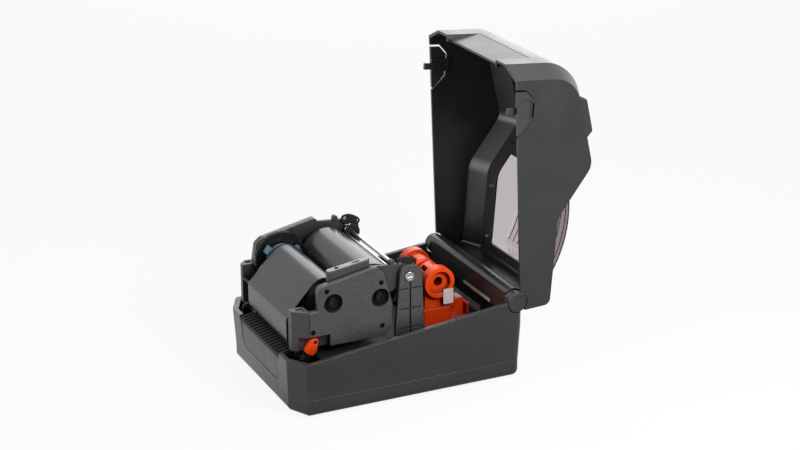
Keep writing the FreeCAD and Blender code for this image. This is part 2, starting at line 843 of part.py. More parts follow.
def main_board():
    right = inner_x - 8
    body = box(board_left, right, board_front, board_rear, board_z, board_z + 1.6)
    parts = [
        rod_z(5.0, board_z + 1, board_z + 7, board_left + 20, board_front + 20),
        rod_z(5.0, board_z + 1, board_z + 7, board_left + 33, board_front + 20),
        box(30, 46, board_front + 34, board_front + 50, board_z + 1, board_z + 3.2),
        box(58, 68, board_front + 24, board_front + 34, board_z + 1, board_z + 3.0),
        box(50, 72, board_front + 50, board_front + 57, board_z + 1, board_z + 6.5),
    ]
    return fused([body] + parts)


def rear_ports():
    ports = []
    y0 = board_rear - 12
    for x, width, height in port_sizes():
        shell = box(x - width / 2, x + width / 2, y0, rear_y - 3, board_z + 1.6, board_z + 1.6 + height)
        half = width / 2
        mouth = box(x - half + 1, x + half - 1, rear_y - 10, rear_y, board_z + 2.6, board_z + 0.6 + height)
        tongue = box(x - half + 2, x + half - 2, rear_y - 11, rear_y - 4, board_z + 6, board_z + 8)
        ports.append(fused([shell.cut(mouth), tongue]))
    return Part.makeCompound(ports)


def power_jack():
    x = jack_x
    z = board_z + 1.6 + 5.5
    body = box(x - 4.5, x + 4.5, board_rear - 10, io_plate_y + 1, board_z + 1.6, board_z + 12.6)
    body = fused([body, rod_y(4.2, io_plate_y, rear_y - 3, x, z)])
    pin = rod_y(1.0, rear_y - 11, rear_y - 4, x, z)
    return fused([body.cut(rod_y(3.2, rear_y - 11, rear_y, x, z)), pin])


def io_panel():
    y0 = io_plate_y - io_plate_thickness
    plate = box(io_left, io_right, y0, io_plate_y, io_low - 2, io_high + 2)
    for x, width, height in port_sizes():
        plate = plate.cut(box(x - width / 2 - fit_gap, x + width / 2 + fit_gap, y0 - 1, rear_y,
                              board_z + 1.6 - fit_gap, board_z + 1.6 + height + fit_gap))
    jack_half = 4.5 + fit_gap
    plate = plate.cut(box(jack_x - jack_half, jack_x + jack_half, y0 - 1, rear_y,
                          board_z + 1.6 - fit_gap, board_z + 12.9))
    # bezel box of the power switch
    half_w, half_h = switch_width / 2 + moving_gap, switch_height / 2 + moving_gap
    bezel = box(switch_x - half_w - 1.6, switch_x + half_w + 1.6, io_plate_y - 9, io_plate_y + 1.6,
                switch_z - half_h - 1.6, switch_z + half_h + 1.6)
    left, right = switch_x - half_w, switch_x + half_w
    well = box(left, right, io_plate_y - 7.5, rear_y, switch_z - half_h, switch_z + half_h)
    plate = fused([plate, bezel]).cut(well)
    return plate.cut(rod_x(rocker_pin_radius + running_gap, left - 1, right + 1, io_plate_y, switch_z))


def power_switch():
    half = switch_height / 2
    # a shallow V, so that one end stands proud while the other is pressed in
    outline = [
        (io_plate_y - 4, switch_z - half + 1.8), (io_plate_y + 0.4, switch_z - half + 0.2),
        (io_plate_y + 1.2, switch_z), (io_plate_y + 3.2, switch_z + half - 0.6),
        (io_plate_y - 2.4, switch_z + half - 0.2),
    ]
    body = prism(outline, "x", switch_x - switch_width / 2, switch_x + switch_width / 2)
    pin_half = switch_width / 2 + 1
    pin = rod_x(rocker_pin_radius, switch_x - pin_half, switch_x + pin_half, io_plate_y, switch_z)
    body = fused([body, pin])
    return body


def base_screws():
    group = []
    for x, y in leg_places():
        head = rod_z(screw_head_radius, foot_height + 0.2, foot_height + screw_head_height, x, y)
        group.append(fused([head, rod_z(screw_radius, foot_height + 1, pan_floor + 8, x, y)]))
    for x, y in bracket_screw_places():
        top = deck_height + 3
        head = rod_z(screw_head_radius, top, top + screw_head_height, x, y)
        group.append(fused([head, rod_z(screw_radius, deck_height - deck_thickness, top + 0.5, x, y)]))
    head = rod_z(4.6, rack_low - 2.6, rack_low - 0.4, 0, hub_y)
    neck = rod_z(3.0, rack_low - 1, deck_height - deck_thickness, 0, hub_y)
    group.append(fused([head, neck, rod_z(screw_radius, rack_high, deck_height - 1, 0, hub_y)]))
    return Part.makeCompound(group)


# Lid, drawn closed and then swung open
def opened(shape):
    turned = shape.copy()
    turned.rotate(V(0, hinge_y, hinge_z), V(1, 0, 0), -lid_open_angle)
    return turned


def slope_z(y):
    return rim_front_height + lid_front_rise + (y - front_y) * tan(radians(lid_slope))


ridge_y = front_y + ridge_from_front
shoulder_z = rim_front_height + shoulder_rise
foot_of_descent = ridge_y + (slope_z(ridge_y) - shoulder_z) / tan(radians(descent_slope))


def lid_corners(front, crown):
    # Corners of the lid's outline from the front edge over the ridge to the rear, with their rounding.
    return [
        (front, 0.0, 0.0),
        (front, slope_z(front) + crown, lid_front_radius - 1.1 * (front - lid_front_y)),
        (ridge_y, slope_z(ridge_y) + crown, ridge_radius),
        (foot_of_descent, shoulder_z + crown, -shoulder_radius),
        (rear_y - 3.0, shoulder_z + crown, 8.0),
        (rear_y + 1.5, hinge_z + 7.0, 0.0),
        (rear_y + 1.5, 0.0, 0.0),
    ]


def inset_outline(corners, inset):
    # The same outline drawn in by a wall; hollow corners have a negative radius.
    count = len(corners)
    lines = []
    for i in range(count):
        a, b = corners[i], corners[(i + 1) % count]
        length = hypot(b[0] - a[0], b[1] - a[1])
        normal = ((b[1] - a[1]) / length, -(b[0] - a[0]) / length)
        lines.append((normal, normal[0] * a[0] + normal[1] * a[1] + inset))
    drawn = []
    for i in range(count):
        (n1, d1), (n2, d2) = lines[i - 1], lines[i]
        det = n1[0] * n2[1] - n1[1] * n2[0]
        y = (d1 * n2[1] - d2 * n1[1]) / det
        z = (n1[0] * d2 - n2[0] * d1) / det
        radius = corners[i][2]
        drawn.append((y, z, abs(radius - inset) if radius else 0.0))
    return drawn


def lid_middle(inset):
    half = side_x - corner_run - inset * 0.5
    return prism(inset_outline(lid_corners(lid_front_y, lid_crown), inset), "x", -half, half)


def lid_body(inset):
    # Straight middle, and ends that draw the front edge and the roof back to a bevel on each side.
    body = lid_middle(inset)
    middle = body.BoundBox.XMax
    end = side_x - inset
    centre = inset_outline(lid_corners(lid_front_y, lid_crown), inset)
    side = inset_outline(lid_corners(lid_front_y + lid_corner_set, 0.0), inset)
    cheek = Part.makeLoft([rounded_wire(centre, "x", middle), rounded_wire(side, "x", end)], True, True)
    return fused([body, cheek, mirrored(cheek)])


def under_lid(shape):
    # What stands up under the closed roof is trimmed clear of it.
    return shape.common(lid_body(wall + lid_room)).Solids[0]


panel_front_y = front_y + 41.0
panel_rear_y = front_y + 91.0
bump_height = 9.5
bump_half = side_x - corner_run - 0.6
bump_wall = 2.4


def crown_z(y):
    return slope_z(y) + lid_crown


def on_slope(y, rise):
    # A point standing off the lid's top slope by rise.
    return (y - rise * sin(radians(lid_slope)), crown_z(y) + rise * cos(radians(lid_slope)))


def bump_outline(inset):
    top = bump_height - inset
    return [
        on_slope(panel_front_y + inset, 0.0 if not inset else -6.0),
        on_slope(panel_rear_y - inset, 0.0 if not inset else -6.0),
        (*on_slope(panel_rear_y - 6 - inset, top), max(4.0 - inset, 0.5)),
        (*on_slope(panel_front_y + 7 + inset, top), max(4.0 - inset, 0.5)),
    ]


def latch_outline(grow):
    y0, y1 = latch_front_y, latch_front_y + latch_length
    z0, z1 = rim_z(y0), rim_z(y1)
    top = z0 + latch_height
    return [
        (y0 - grow, z0 - 20), (y1 + grow, z1 - 20), (y1 + grow, z1 + 2, 2.0 + grow),
        (y1 - 15 + grow * 0.6, top + grow, 3.0 + grow), (y0 + 9, top + grow, 3.0 + grow),
        (y0 - grow, top - 9, 3.0 + grow),
    ]


window_front_y = front_y + window_from_front
window_rear_y = window_front_y + window_length


def window_room(grow):
    # Upright block through the roof where the window sits.
    half = window_half + grow
    return box(-half, half, window_front_y - grow, window_rear_y + grow, shoulder_z - 30, far)


def knuckle():
    x0 = barrel_x + moving_gap
    x1 = x0 + knuckle_width
    eye = rod_x(cap_radius, x0, x1, hinge_y, hinge_z)
    web = box(x0, side_x - wall + 0.3, hinge_y - 2, rear_y - 1.0, hinge_z + 3, hinge_z + 30)
    web = web.cut(rod_x(cap_radius + 0.9, x1, far, hinge_y, hinge_z))
    web = web.common(prism(inset_outline(lid_corners(lid_front_y, 0.0), wall / 2), "x", 0, far))
    return fused([eye, web]).cut(rod_x(hinge_pin_radius + running_gap, 0, far, hinge_y, hinge_z))


mouth_half = ledge_half - 0.3
mouth_wall = 2.4
inset_top = rim_front_height + 43.0
inset_depth = 6.5           # at the rim
latch_gap = 2.2


def mouth_inset(half, thickness):
    # Wedge over the label mouth that runs out at its top edge, drawn back by a wall's thickness.
    low = rim_front_height - 4
    depth = inset_depth * (inset_top - low) / (inset_top - rim_front_height)
    back = max(thickness, 0.0)
    front = lid_front_y if thickness > 0 else lid_front_y - 1
    outline = [
        (front, low), (lid_front_y + depth + back, low),
        (lid_front_y + back + 0.01, inset_top), (front, inset_top),
    ]
    return prism(outline, "x", -half, half)


def lid_shell():
    shell = lid_body(0).cut(lid_body(wall))
    shell = fused([shell, mouth_inset(mouth_half + 1.6, mouth_wall)]).cut(mouth_inset(mouth_half, -far))
    shell = shell.cut(below_rim(lid_gap))
    shell = shell.cut(box(-far, far, hinge_y, far, 0, hinge_z + 10))
    shell = shell.cut(rod_x(barrel_radius + 0.7, -barrel_x - 1, barrel_x + 1, hinge_y, hinge_z))
    shell = shell.cut(rod_x(cap_radius + 0.9, -far, far, hinge_y, hinge_z))
    front = lid_front_y - 1
    shell = shell.cut(box(-mouth_half, mouth_half, front, lid_front_y + 12, 0, rim_front_height + 6))
    groove = box(-mouth_half, mouth_half, front, lid_front_y + 0.9, inset_top - 0.6, inset_top + 0.4)
    shell = shell.cut(groove)
    for side in (-1, 1):
        ends = sorted((side * (side_x - wall - 1), side * (side_x + 1)))
        shell = shell.cut(prism(latch_outline(latch_gap), "x", *ends))
    under_panel = prism(
        [on_slope(panel_front_y + 3, -far / 8), on_slope(panel_rear_y - 3, -far / 8),
         on_slope(panel_rear_y - 3, 3), on_slope(panel_front_y + 3, 3)],
        "x", -bump_half + 4, bump_half - 4,
    )
    shell = shell.cut(under_panel.common(lid_body(-1)))
    shell = shell.cut(window_room(fit_gap))
    for screw in window_screw_shafts(screw_radius):
        shell = shell.cut(screw)
    eye = knuckle()
    return fused([shell, eye, mirrored(eye)])


def bubble(inset):
    # Clear dome: a slice of a drum with upright walls and rounded edges.
    drum = rod_x(drum_radius - inset, -far, far, drum_y, drum_z)
    body = drum.common(window_room(-inset))
    radius = bubble_edge_radius - inset
    uprights = [e for e in body.Edges if e.BoundBox.XLength < 0.01 and e.BoundBox.YLength < 0.01]
    body = body.makeFillet(radius, uprights)
    top = max(body.Faces, key=lambda face: face.CenterOfMass.z)
    return body.makeFillet(0.8 * radius, top.Edges)


def media_window():
    return bubble(0).cut(bubble(pane_thickness)).cut(lid_middle(wall))


window_frame_width = 8.0
window_frame_lip = 2.6
window_frame_thickness = 2.4
window_frame_under = shoulder_z + lid_crown - wall - window_frame_thickness


def window_frame():
    ring = window_room(window_frame_width).cut(window_room(-window_frame_lip))
    frame = ring.common(lid_middle(wall + 0.1).cut(lid_middle(wall + window_frame_thickness)))
    for screw in window_screw_shafts(screw_radius):
        frame = frame.cut(screw)
    return frame


def window_screw_shafts(radius):
    x = window_half + window_frame_width / 2
    low = window_frame_under - 0.5
    high = window_frame_under + window_frame_thickness + 2.0
    places = [(side * x, y) for side in (-1, 1) for y in (foot_of_descent + 16, window_rear_y - 8)]
    return [rod_z(radius, low, high, x, y) for x, y in places]


def window_screws():
    group = []
    for shank in window_screw_shafts(screw_radius - 0.05):
        middle = shank.BoundBox.Center
        top = window_frame_under - 0.1
        group.append(fused([rod_z(screw_head_radius, top - 1.6, top, middle.x, middle.y), shank]))
    return Part.makeCompound(group)


button_x = 16.0
button_radius = 6.0
button_travel = 1.2
light_radius = 1.6
light_pitch = 9.0
panel_mid_y = (panel_front_y + panel_rear_y) / 2


def slope_rod(radius, x, y, low, high):
    # A round pin square to the top slope, between two heights above it.
    lean = V(0, -sin(radians(lid_slope)), cos(radians(lid_slope)))
    start = V(x, y, crown_z(y)).add(V(lean).multiply(low))
    return Part.makeCylinder(radius, high - low, start, lean)


def light_places():
    return [(i * light_pitch, panel_mid_y - 11) for i in (-1, 0, 1)]


def control_panel():
    body = prism(bump_outline(0), "x", -bump_half, bump_half)
    ends = [e for e in body.Edges if abs(abs(e.CenterOfMass.x) - bump_half) < 0.1]
    high = [e for e in ends if e.CenterOfMass.z - crown_z(e.CenterOfMass.y) > 3.0]
    body = body.makeFillet(2.0, high)
    body = body.cut(prism(bump_outline(bump_wall), "x", -bump_half + bump_wall, bump_half - bump_wall))
    boss_top = bump_height - bump_wall + 0.3
    bosses = [slope_rod(2.5, x, panel_mid_y + dy, board_drop, boss_top) for x, dy in board_boss_places()]
    body = fused([body] + bosses)
    for x in (-button_x, button_x):
        body = body.cut(slope_rod(button_radius + moving_gap, x, panel_mid_y, -1, far / 4))
    for x, y in light_places():
        body = body.cut(slope_rod(light_radius, x, y, -1, far / 4))
    return body


board_drop = -1.0
board_half = 42.0


def board_boss_places():
    return [(x, dy) for x in (-board_half + 4, board_half - 4) for dy in (-11, 11)]


def panel_board():
    return prism(
        [on_slope(panel_mid_y - 15, board_drop - 1.6), on_slope(panel_mid_y + 15, board_drop - 1.6),
         on_slope(panel_mid_y + 15, board_drop), on_slope(panel_mid_y - 15, board_drop)],
        "x", -board_half, board_half,
    )


def status_lights():
    top = bump_height + 0.2
    return Part.makeCompound([slope_rod(light_radius, x, y, board_drop, top) for x, y in light_places()])


def panel_button(x):
    under = bump_height - bump_wall
    cap = slope_rod(button_radius, x, panel_mid_y, under - 1.6, bump_height + 0.9)
    rounds = [e for e in cap.Edges if e.Closed]
    cap = cap.makeFillet(0.6, [max(rounds, key=lambda e: e.CenterOfMass.z)])
    flange = slope_rod(button_radius + 1.4, x, panel_mid_y, under - 1.6, under - 0.2)
    stem = slope_rod(1.5, x, panel_mid_y, board_drop + button_travel + 0.3, under - 1)
    return fused([cap, flange, stem])


def latch_button():
    # Side pad with a flange behind the lid's wall and a hook that drops inside the base's rim.
    back = side_x - wall
    outer = prism(latch_outline(0), "x", back - 1, side_x)
    grip_y = latch_front_y + 8.0
    grip_z = rim_z(latch_front_y) + 7.0
    grip = [
        (grip_y, grip_z, 2.0), (grip_y + 25, grip_z + 2, 2.0),
        (grip_y + 22, grip_z + 13, 2.0), (grip_y + 2, grip_z + 13, 2.0),
    ]
    outer = outer.cut(prism(grip, "x", side_x - 0.8, side_x + 1))
    flange = prism(latch_outline(latch_gap + 2.0), "x", back - 2.4, back - 0.3)
    flange = flange.common(box(0, far, latch_front_y + 14, latch_front_y + latch_length - 20, 0, far))
    pad = fused([outer, flange]).cut(below_rim(lid_gap + 0.2))
    hook_x = inner_x - 2.6
    bottom = rim_z(hook_y) - hook_reach
    tongue = box(hook_x, inner_x - 0.5, hook_y, hook_y + hook_width, bottom, rim_z(hook_y) + 12)
    lip = box(hook_x, inner_x + hook_lip, hook_y, hook_y + hook_width, bottom, bottom + 2.5)
    bridge = box(hook_x, back - 0.5, hook_y, hook_y + hook_width, rim_z(hook_y) + 4, rim_z(hook_y) + 12)
    return fused([pad, tongue, lip, bridge])


# Ribbon and print module
def plate_outline(shrink):
    s = shrink
    return [
        (module_front_y + 17, print_z + 5.4),
        (supply_y + 5, print_z + 6.2 + s, 6.0),
        (pivot_y - 22 - s, print_z + 13.0, 8.0),
        (pivot_y - 20.3 - s, print_z + 42.8, 10.0),
        (pivot_y - 31 - s, print_z + 80.8, 3.0),
        (pivot_y - 40, print_z + 89.6 - s, 8.0),
        (pivot_y - 103, print_z + 77.0 - s, 9.0),
        (front_y + 39 + s, print_z + 74, 6.0),
        (front_y + 39 + s, print_z + 49 - s),
        (module_front_y + 17, print_z + 48 - s),
    ]


notch_front = front_y + 34.0
notch_rear = front_y + 53.0
notch_top = print_z + 20.0
lever_y = front_y + 34.5
lever_z = print_z + 14.2
lever_pin_radius = 2.0
post_top = print_z + 50.0


def plate_screw_places():
    return [
        (take_up_y - 7.5, take_up_z + 15.0), (supply_y + 1.0, supply_z + 17.5),
        (supply_y + 2.0, supply_z - 33.5), (notch_front - 1.2, notch_top + 5.0),
    ]


def module_plate_right():
    body = prism(plate_outline(0), "x", frame_x, plate_x)
    rim = [e for e in body.Edges if e.BoundBox.XMin > plate_x - 0.1]
    body = body.makeChamfer(0.8, rim)
    body = body.cut(box(frame_x - 1, far, -far, notch_rear, 0, notch_top))
    body = body.cut(rod_x(11.0, 0, far, take_up_y, take_up_z))
    body = body.cut(rod_x(10.7, 0, far, supply_y, supply_z))
    for y, z in plate_screw_places():
        body = body.cut(rod_x(screw_radius, 0, far, y, z))
        body = body.cut(rod_x(screw_head_radius + fit_gap, plate_x - 2.5, far, y, z))
    return body


def module_screws():
    group = []
    for y, z in plate_screw_places():
        seat = plate_x - 2.5
        group.append(fused([
            rod_x(screw_head_radius, seat, seat + screw_head_height, y, z),
            rod_x(screw_radius, frame_in_x + 0.5, seat + 0.5, y, z),
        ]))
    return Part.makeCompound(group)


def arm_outline():
    # From the frame wall back to the pivot.
    return [
        (pivot_y - 34, pivot_z - 22), (pivot_y - 6, pivot_z - 11, 4.0), (pivot_y + 10, pivot_z - 11, 9.0),
        (pivot_y + 10, pivot_z + 10, 8.0), (pivot_y - 8, pivot_z + 14, 5.0), (pivot_y - 42, pivot_z + 16.5),
    ]


def left_outline():
    return [
        (module_front_y + 17, print_z + 5.4),
        (supply_y + 5, print_z + 6.2, 6.0),
        (pivot_y - 22, print_z + 13.0, 8.0),
        (pivot_y - 20.3, print_z + 42.8, 10.0),
        (pivot_y - 38, print_z + 82.0, 3.0),
        (pivot_y - 42, print_z + 92.0, 4.0),
        (front_y + 39, print_z + 77.0, 9.0),
        (front_y + 32, print_z + 71.0, 6.0),
        (module_front_y + 17, print_z + 48.0),
    ]


def front_post(inner, outer, front, slant, run):
    # Post with its outer front corner cut and a shallow dish in its top, drawn for the right side.
    rear = module_front_y + 17
    outline = [(inner, front), (outer - slant, front), (outer, front + run), (outer, rear), (inner, rear)]
    post = prism(outline, "z", print_z + 4.0, post_top)
    dish = box(inner + 3, outer - slant / 2, front + 6, rear - 3, post_top - 1.2, far)
    return post.cut(dish)


def module_frame():
    right_wall = prism(plate_outline(1.2), "x", frame_in_x, frame_x)
    left_wall = prism(left_outline(), "x", left_out_x, left_in_x)
    stop = rod_x(3.2, frame_in_x - 1.5, frame_x, pivot_y - 18, pivot_z + 17)
    arm = fused([prism(arm_outline(), "x", frame_in_x, frame_x), stop])
    right_post = front_post(ribbon_x + 6, plate_x, module_front_y, 10.0, 13.0)
    cover_x = gear_cover_depth - left_out_x
    left_post = mirrored(front_post(-left_in_x - 3, cover_x, module_front_y + 1.5, 8.0, 8.0))
    tray = box(left_in_x - 1, frame_in_x + 1, platen_y + 12, pivot_y - 30, print_z + 6.5, print_z + 9.5)
    beam = box(left_in_x + 1, ribbon_x + 7, platen_y - 6, platen_y + 4.7, print_z + 6.5, print_z + 10.5)
    body = fused([right_wall, left_wall, arm, left_of_module(arm), right_post, left_post, tray, beam])
    bores = [
        rod_x(spindle_radius + running_gap, -far, far, take_up_y, take_up_z),
        rod_x(spindle_radius + running_gap, -far, far, supply_y, supply_z),
        rod_x(pivot_pin_radius + running_gap, -far, far, pivot_y, pivot_z),
        rod_x(bar_radius + running_gap / 2, guide_left, guide_right, guide_y, guide_z),
    ]
    for bore in bores:
        body = body.cut(bore)
    for y, z in plate_screw_places():
        body = body.cut(rod_x(screw_radius, 0, far, y, z))
    body = body.cut(box(frame_x, far, module_front_y + 6, notch_rear, 0, notch_top))
    return fused([body, rod_x(lever_pin_radius, frame_x - 1, plate_x - 0.5, lever_y, lever_z)])


def gear_cover_left():
    x1 = left_out_x
    x0 = x1 - gear_cover_depth
    body = prism(left_outline(), "x", x0, x1)
    rim = [e for e in body.Edges if e.BoundBox.XMax < x0 + 0.1]
    body = body.makeChamfer(1.5, rim)
    hollow = fused([
        rod_x(24.0, x0 + 2.5, x1 + 1, take_up_y, take_up_z),
        rod_x(14.0, x0 + 2.5, x1 + 1, supply_y, supply_z),
    ])
    return body.cut(hollow)


def ribbon_clamp():
    # Capsule-shaped cover on top of the right frame wall.
    x0, x1 = frame_in_x - 6.5, frame_x - 1.0
    y0, y1 = pivot_y - 94.2, pivot_y - 44.0
    low_front, low_rear = clamp_seat(y0), clamp_seat(y1)
    body = prism(
        [(y0, low_front), (y1, low_rear), (y1, low_rear + 9.3), (y0, low_front + 11.6)], "x", x0, x1,
    )
    upright = [e for e in body.Edges if e.BoundBox.ZLength > 6 and e.BoundBox.YLength < 0.1]
    body = body.makeFillet((x1 - x0) * 0.42, upright)
    crown = max(body.Faces, key=lambda face: face.CenterOfMass.z)
    body = body.makeChamfer(0.8, crown.OuterWire.Edges)
    screw_y = y0 + 12
    body = body.cut(rod_z(2.6, clamp_seat(screw_y) + 8.5, far, (x0 + x1) / 2, screw_y))
    mid_x = (x0 + x1) / 2
    slit = box(mid_x - 1.5, mid_x + 1.5, y0 + 30, y0 + 39, clamp_seat(y0 + 33) + 8.8, far)
    return body.cut(slit)


def clamp_seat(y):
    # Height of the frame wall's top edge, with a hair of room.
    low, high = pivot_y - 103, pivot_y - 40
    share = (y - low) / (high - low)
    return print_z + 77.0 + share * 12.6 - 1.2 + 0.05


thin_bar_radius = 1.5
pivot_bar_radius = 2.2
guide_y = module_front_y + 3.0
guide_z = print_z + 35.0
guide_left = left_in_x + 2
guide_right = ribbon_x + 9


def cross_bars():
    # One bar on the pivot axis and a thinner one in front of it, both between the spring collars.
    left = -cap_in - left_shift
    return Part.makeCompound([
        rod_x(pivot_bar_radius, left, cap_in, pivot_y, pivot_z),
        rod_x(thin_bar_radius, left, cap_in, pivot_y - 6.5, pivot_z - 2.0),
    ])


def guide_bar():
    return rod_x(bar_radius, guide_left, guide_right, guide_y, guide_z)


def print_head():
    half = ribbon_x - 0.5
    y0, y1 = platen_y - 6, platen_y + 12
    sink = box(-half, half, y0, y1, print_z + 2.2, print_z + 6.5)
    chip = prism(
        [(y0, print_z + 2.2), (y0 + 3, print_z + 0.6), (y1 - 5, print_z + 0.6), (y1 - 2, print_z + 2.2)],
        "x", -half, half,
    )
    plug = box(-18, 18, y1 - 0.5, y1 + 6, print_z + 2.6, print_z + 6.0)
    return fused([sink, chip, plug])


def head_cover():
    half = ribbon_x + 2
    front = module_front_y + 2.2
    bottom = print_z + 8
    upright = box(-half, half, front, front + 2.8, bottom, guide_z - bar_radius - 0.3)
    foot = box(-half, half, front, platen_y - 6, bottom, bottom + 2.5)
    return fused([upright, foot])


def take_up_tangent():
    # Where the film leaves the wound roll on its way down to the guide bar.
    reach = take_up_radius + moving_gap
    dy, dz = kink_y - take_up_y, kink_z - take_up_z
    angle = atan2(dz, dy) % (2 * pi) - acos(reach / hypot(dy, dz))
    return take_up_y + reach * cos(angle), take_up_z + reach * sin(angle)


kink_y = guide_y - bar_radius - film_thickness - 0.25
kink_z = guide_z + 1.2


def ribbon_film():
    top = take_up_tangent()
    low = print_z + 0.1
    run = [top, (kink_y, kink_z), (kink_y, print_z + 9.0), (platen_y - 6.5, low), (platen_y + 16, low)]
    outer, inner = [], []
    for i, (y, z) in enumerate(run):
        before = run[max(i - 1, 0)]
        after = run[min(i + 1, len(run) - 1)]
        length = hypot(after[0] - before[0], after[1] - before[1])
        ny, nz = (after[1] - before[1]) / length, -(after[0] - before[0]) / length
        outer.append((y, z))
        inner.append((y - ny * film_thickness, z - nz * film_thickness))
    return prism(outer + inner[::-1], "x", ribbon_left_x + 1, ribbon_x - 1)


def spindle(y, z, left, right):
    # Shaft with end plugs that hold the ribbon's core.
    plug = core_radius - 1.5
    shaft = rod_x(spindle_radius, left_out_x - 4, frame_x + 3, y, z)
    plugs = [rod_x(plug, left, left + 14, y, z), rod_x(plug, right - 14, right, y, z)]
    collar = rod_x(9.0, right, frame_in_x - moving_gap, y, z)
    ring = tube_x(9.8, 8.5, right + 5, right + 8, y, z)
    return fused([shaft, collar, ring] + plugs)


def supply_spindle():
    left = ribbon_left_x - supply_overhang - 1
    flange = rod_x(16.0, left_in_x + moving_gap, left, supply_y, supply_z)
    return fused([spindle(supply_y, supply_z, left, ribbon_x + 1), flange])


def supply_core():
    left = ribbon_left_x - supply_overhang - 1
    return tube_x(core_radius, core_radius - 1.5, left, ribbon_x + 1, supply_y, supply_z)


def supply_ribbon():
    left = ribbon_left_x - supply_overhang
    return tube_x(supply_radius, core_radius, left, ribbon_x - 1, supply_y, supply_z)


take_up_gear_teeth = 60
take_up_gear_x = left_in_x + 4.5
take_up_gear_width = 3.2
take_up_hub_x = ribbon_left_x - 1
take_up_hub_width = 9.0


def take_up_spindle():
    tube = tube_x(core_radius, core_radius - 1.5, take_up_hub_x, ribbon_x + 1, take_up_y, take_up_z)
    return fused([spindle(take_up_y, take_up_z, take_up_hub_x, ribbon_x + 1), tube])


def take_up_ribbon():
    return tube_x(take_up_radius, core_radius, ribbon_left_x + 1, ribbon_x - 1, take_up_y, take_up_z)


def take_up_gear():
    # Toothed disc with a boss on both sides and raised spokes on its inner face.
    face_x = take_up_gear_x + take_up_gear_width
    boss_radius = 12.0
    spoke_count = 6
    spoke_half = 0.6
    spoke_end = pitch_radius(take_up_gear_teeth) - 2.5
    body = gear_x(take_up_gear_teeth, 0.0, take_up_gear_x, face_x, take_up_y, take_up_z)
    boss_end = take_up_hub_x - take_up_hub_width
    boss = rod_x(boss_radius, left_in_x + moving_gap, boss_end, take_up_y, take_up_z)
    spokes = []
    for i in range(spoke_count):
        spoke = box(face_x - 0.2, face_x + 0.7, -spoke_half, spoke_half, boss_radius - 1, spoke_end)
        spoke.rotate(V(0, 0, 0), V(1, 0, 0), 10 + 360 / spoke_count * i)
        spoke.translate(V(0, take_up_y, take_up_z))
        spokes.append(spoke)
    body = fused([body, boss] + spokes)
    return body.cut(rod_x(spindle_radius, -far, far, take_up_y, take_up_z))


def take_up_hub():
    # Hub with three lugs beside the gear.
    x0, x1 = take_up_hub_x - take_up_hub_width, take_up_hub_x
    lugs = []
    for i in range(3):
        angle = radians(118 + 120 * i)
        lug = box(x0, x1, -4.5, 4.5, 12, 24)
        lug.rotate(V(0, 0, 0), V(1, 0, 0), degrees(angle) - 90)
        lug.translate(V(0, take_up_y, take_up_z))
        lugs.append(lug)
    body = fused([rod_x(17.5, x0, x1, take_up_y, take_up_z)] + lugs)
    return body.cut(rod_x(spindle_radius, -far, far, take_up_y, take_up_z))


def release_lever():
    # Finger tab on a cross pin in the notch of the right plate.
    x0, x1 = frame_x + 0.5, plate_x - 0.8
    hub = rod_x(4.6, x0, x1, lever_y, lever_z)
    tab = prism(
        [
            (lever_y - 4.5, lever_z + 4.5, 2.0), (lever_y + 3.8, lever_z + 2.3, 2.0),
            (lever_y + 1.9, lever_z - 9.2, 2.0), (lever_y - 3.2, print_z - 1.4, 1.5),
            (lever_y - 12.3, print_z + 4.3, 2.0),
        ],
        "x", x0, plate_x + 1.5,
    )
    body = fused([hub, tab])
    return body.cut(rod_x(lever_pin_radius + running_gap, 0, far, lever_y, lever_z))


nodes = {
    "base_case": base_case,
    "bottom_pan": bottom_pan,
    "front_panel": front_panel,
    "tear_ledge": tear_ledge,
    "rubber_feet": rubber_feet,
    "hinge_pins": hinge_pins,
    "media_deck": media_deck,
    "media_sensor": media_sensor,
    "pivot_bracket_right": pivot_bracket,
    "pivot_bracket_left": lambda: under_lid(left_of_module(pivot_bracket())),
    "pivot_pins": pivot_pins,
    "spring_caps": spring_caps,
    "lift_springs": lift_spring,
    "platen_frame": platen_frame,
    "platen_bushes": platen_bushes,
    "motor_plate": motor_plate,
    "drive_motor": drive_motor,
    "main_board": main_board,
    "io_panel": io_panel,
    "rear_ports": rear_ports,
    "power_jack": power_jack,
    "power_switch": power_switch,
    "base_screws": base_screws,
    "platen_shaft": platen_shaft,
    "platen_rubber": platen_rubber,
    "platen_gear": platen_gear,
    "idler_gear": idler_gear,
    "motor_pinion": motor_pinion,
    "media_holder_right": lambda: media_holder(1),
    "media_holder_left": lambda: media_holder(-1),
    "holder_pinion": holder_pinion,
    "lid_shell": lambda: opened(lid_shell()),
    "media_window": lambda: opened(media_window()),
    "window_frame": lambda: opened(window_frame()),
    "window_screws": lambda: opened(window_screws()),
    "control_panel": lambda: opened(control_panel()),
    "panel_board": lambda: opened(panel_board()),
    "status_lights": lambda: opened(status_lights()),
    "feed_button": lambda: opened(panel_button(-button_x)),
    "pause_button": lambda: opened(panel_button(button_x)),
    "latch_button_right": lambda: opened(latch_button()),
    "latch_button_left": lambda: opened(mirrored(latch_button())),
    "module_frame": module_frame,
    "module_plate_right": module_plate_right,
    "module_screws": module_screws,
    "gear_cover_left": gear_cover_left,
    "ribbon_clamp": ribbon_clamp,
    "cross_bars": cross_bars,
    "guide_bar": guide_bar,
    "print_head": print_head,
    "head_cover": head_cover,
    "ribbon_film": ribbon_film,
    "supply_spindle": supply_spindle,
    "supply_core": supply_core,
    "supply_ribbon": supply_ribbon,
    "take_up_spindle": take_up_spindle,
    "take_up_ribbon": take_up_ribbon,
    "take_up_gear": take_up_gear,
    "take_up_hub": take_up_hub,
    "release_lever": release_lever,
}

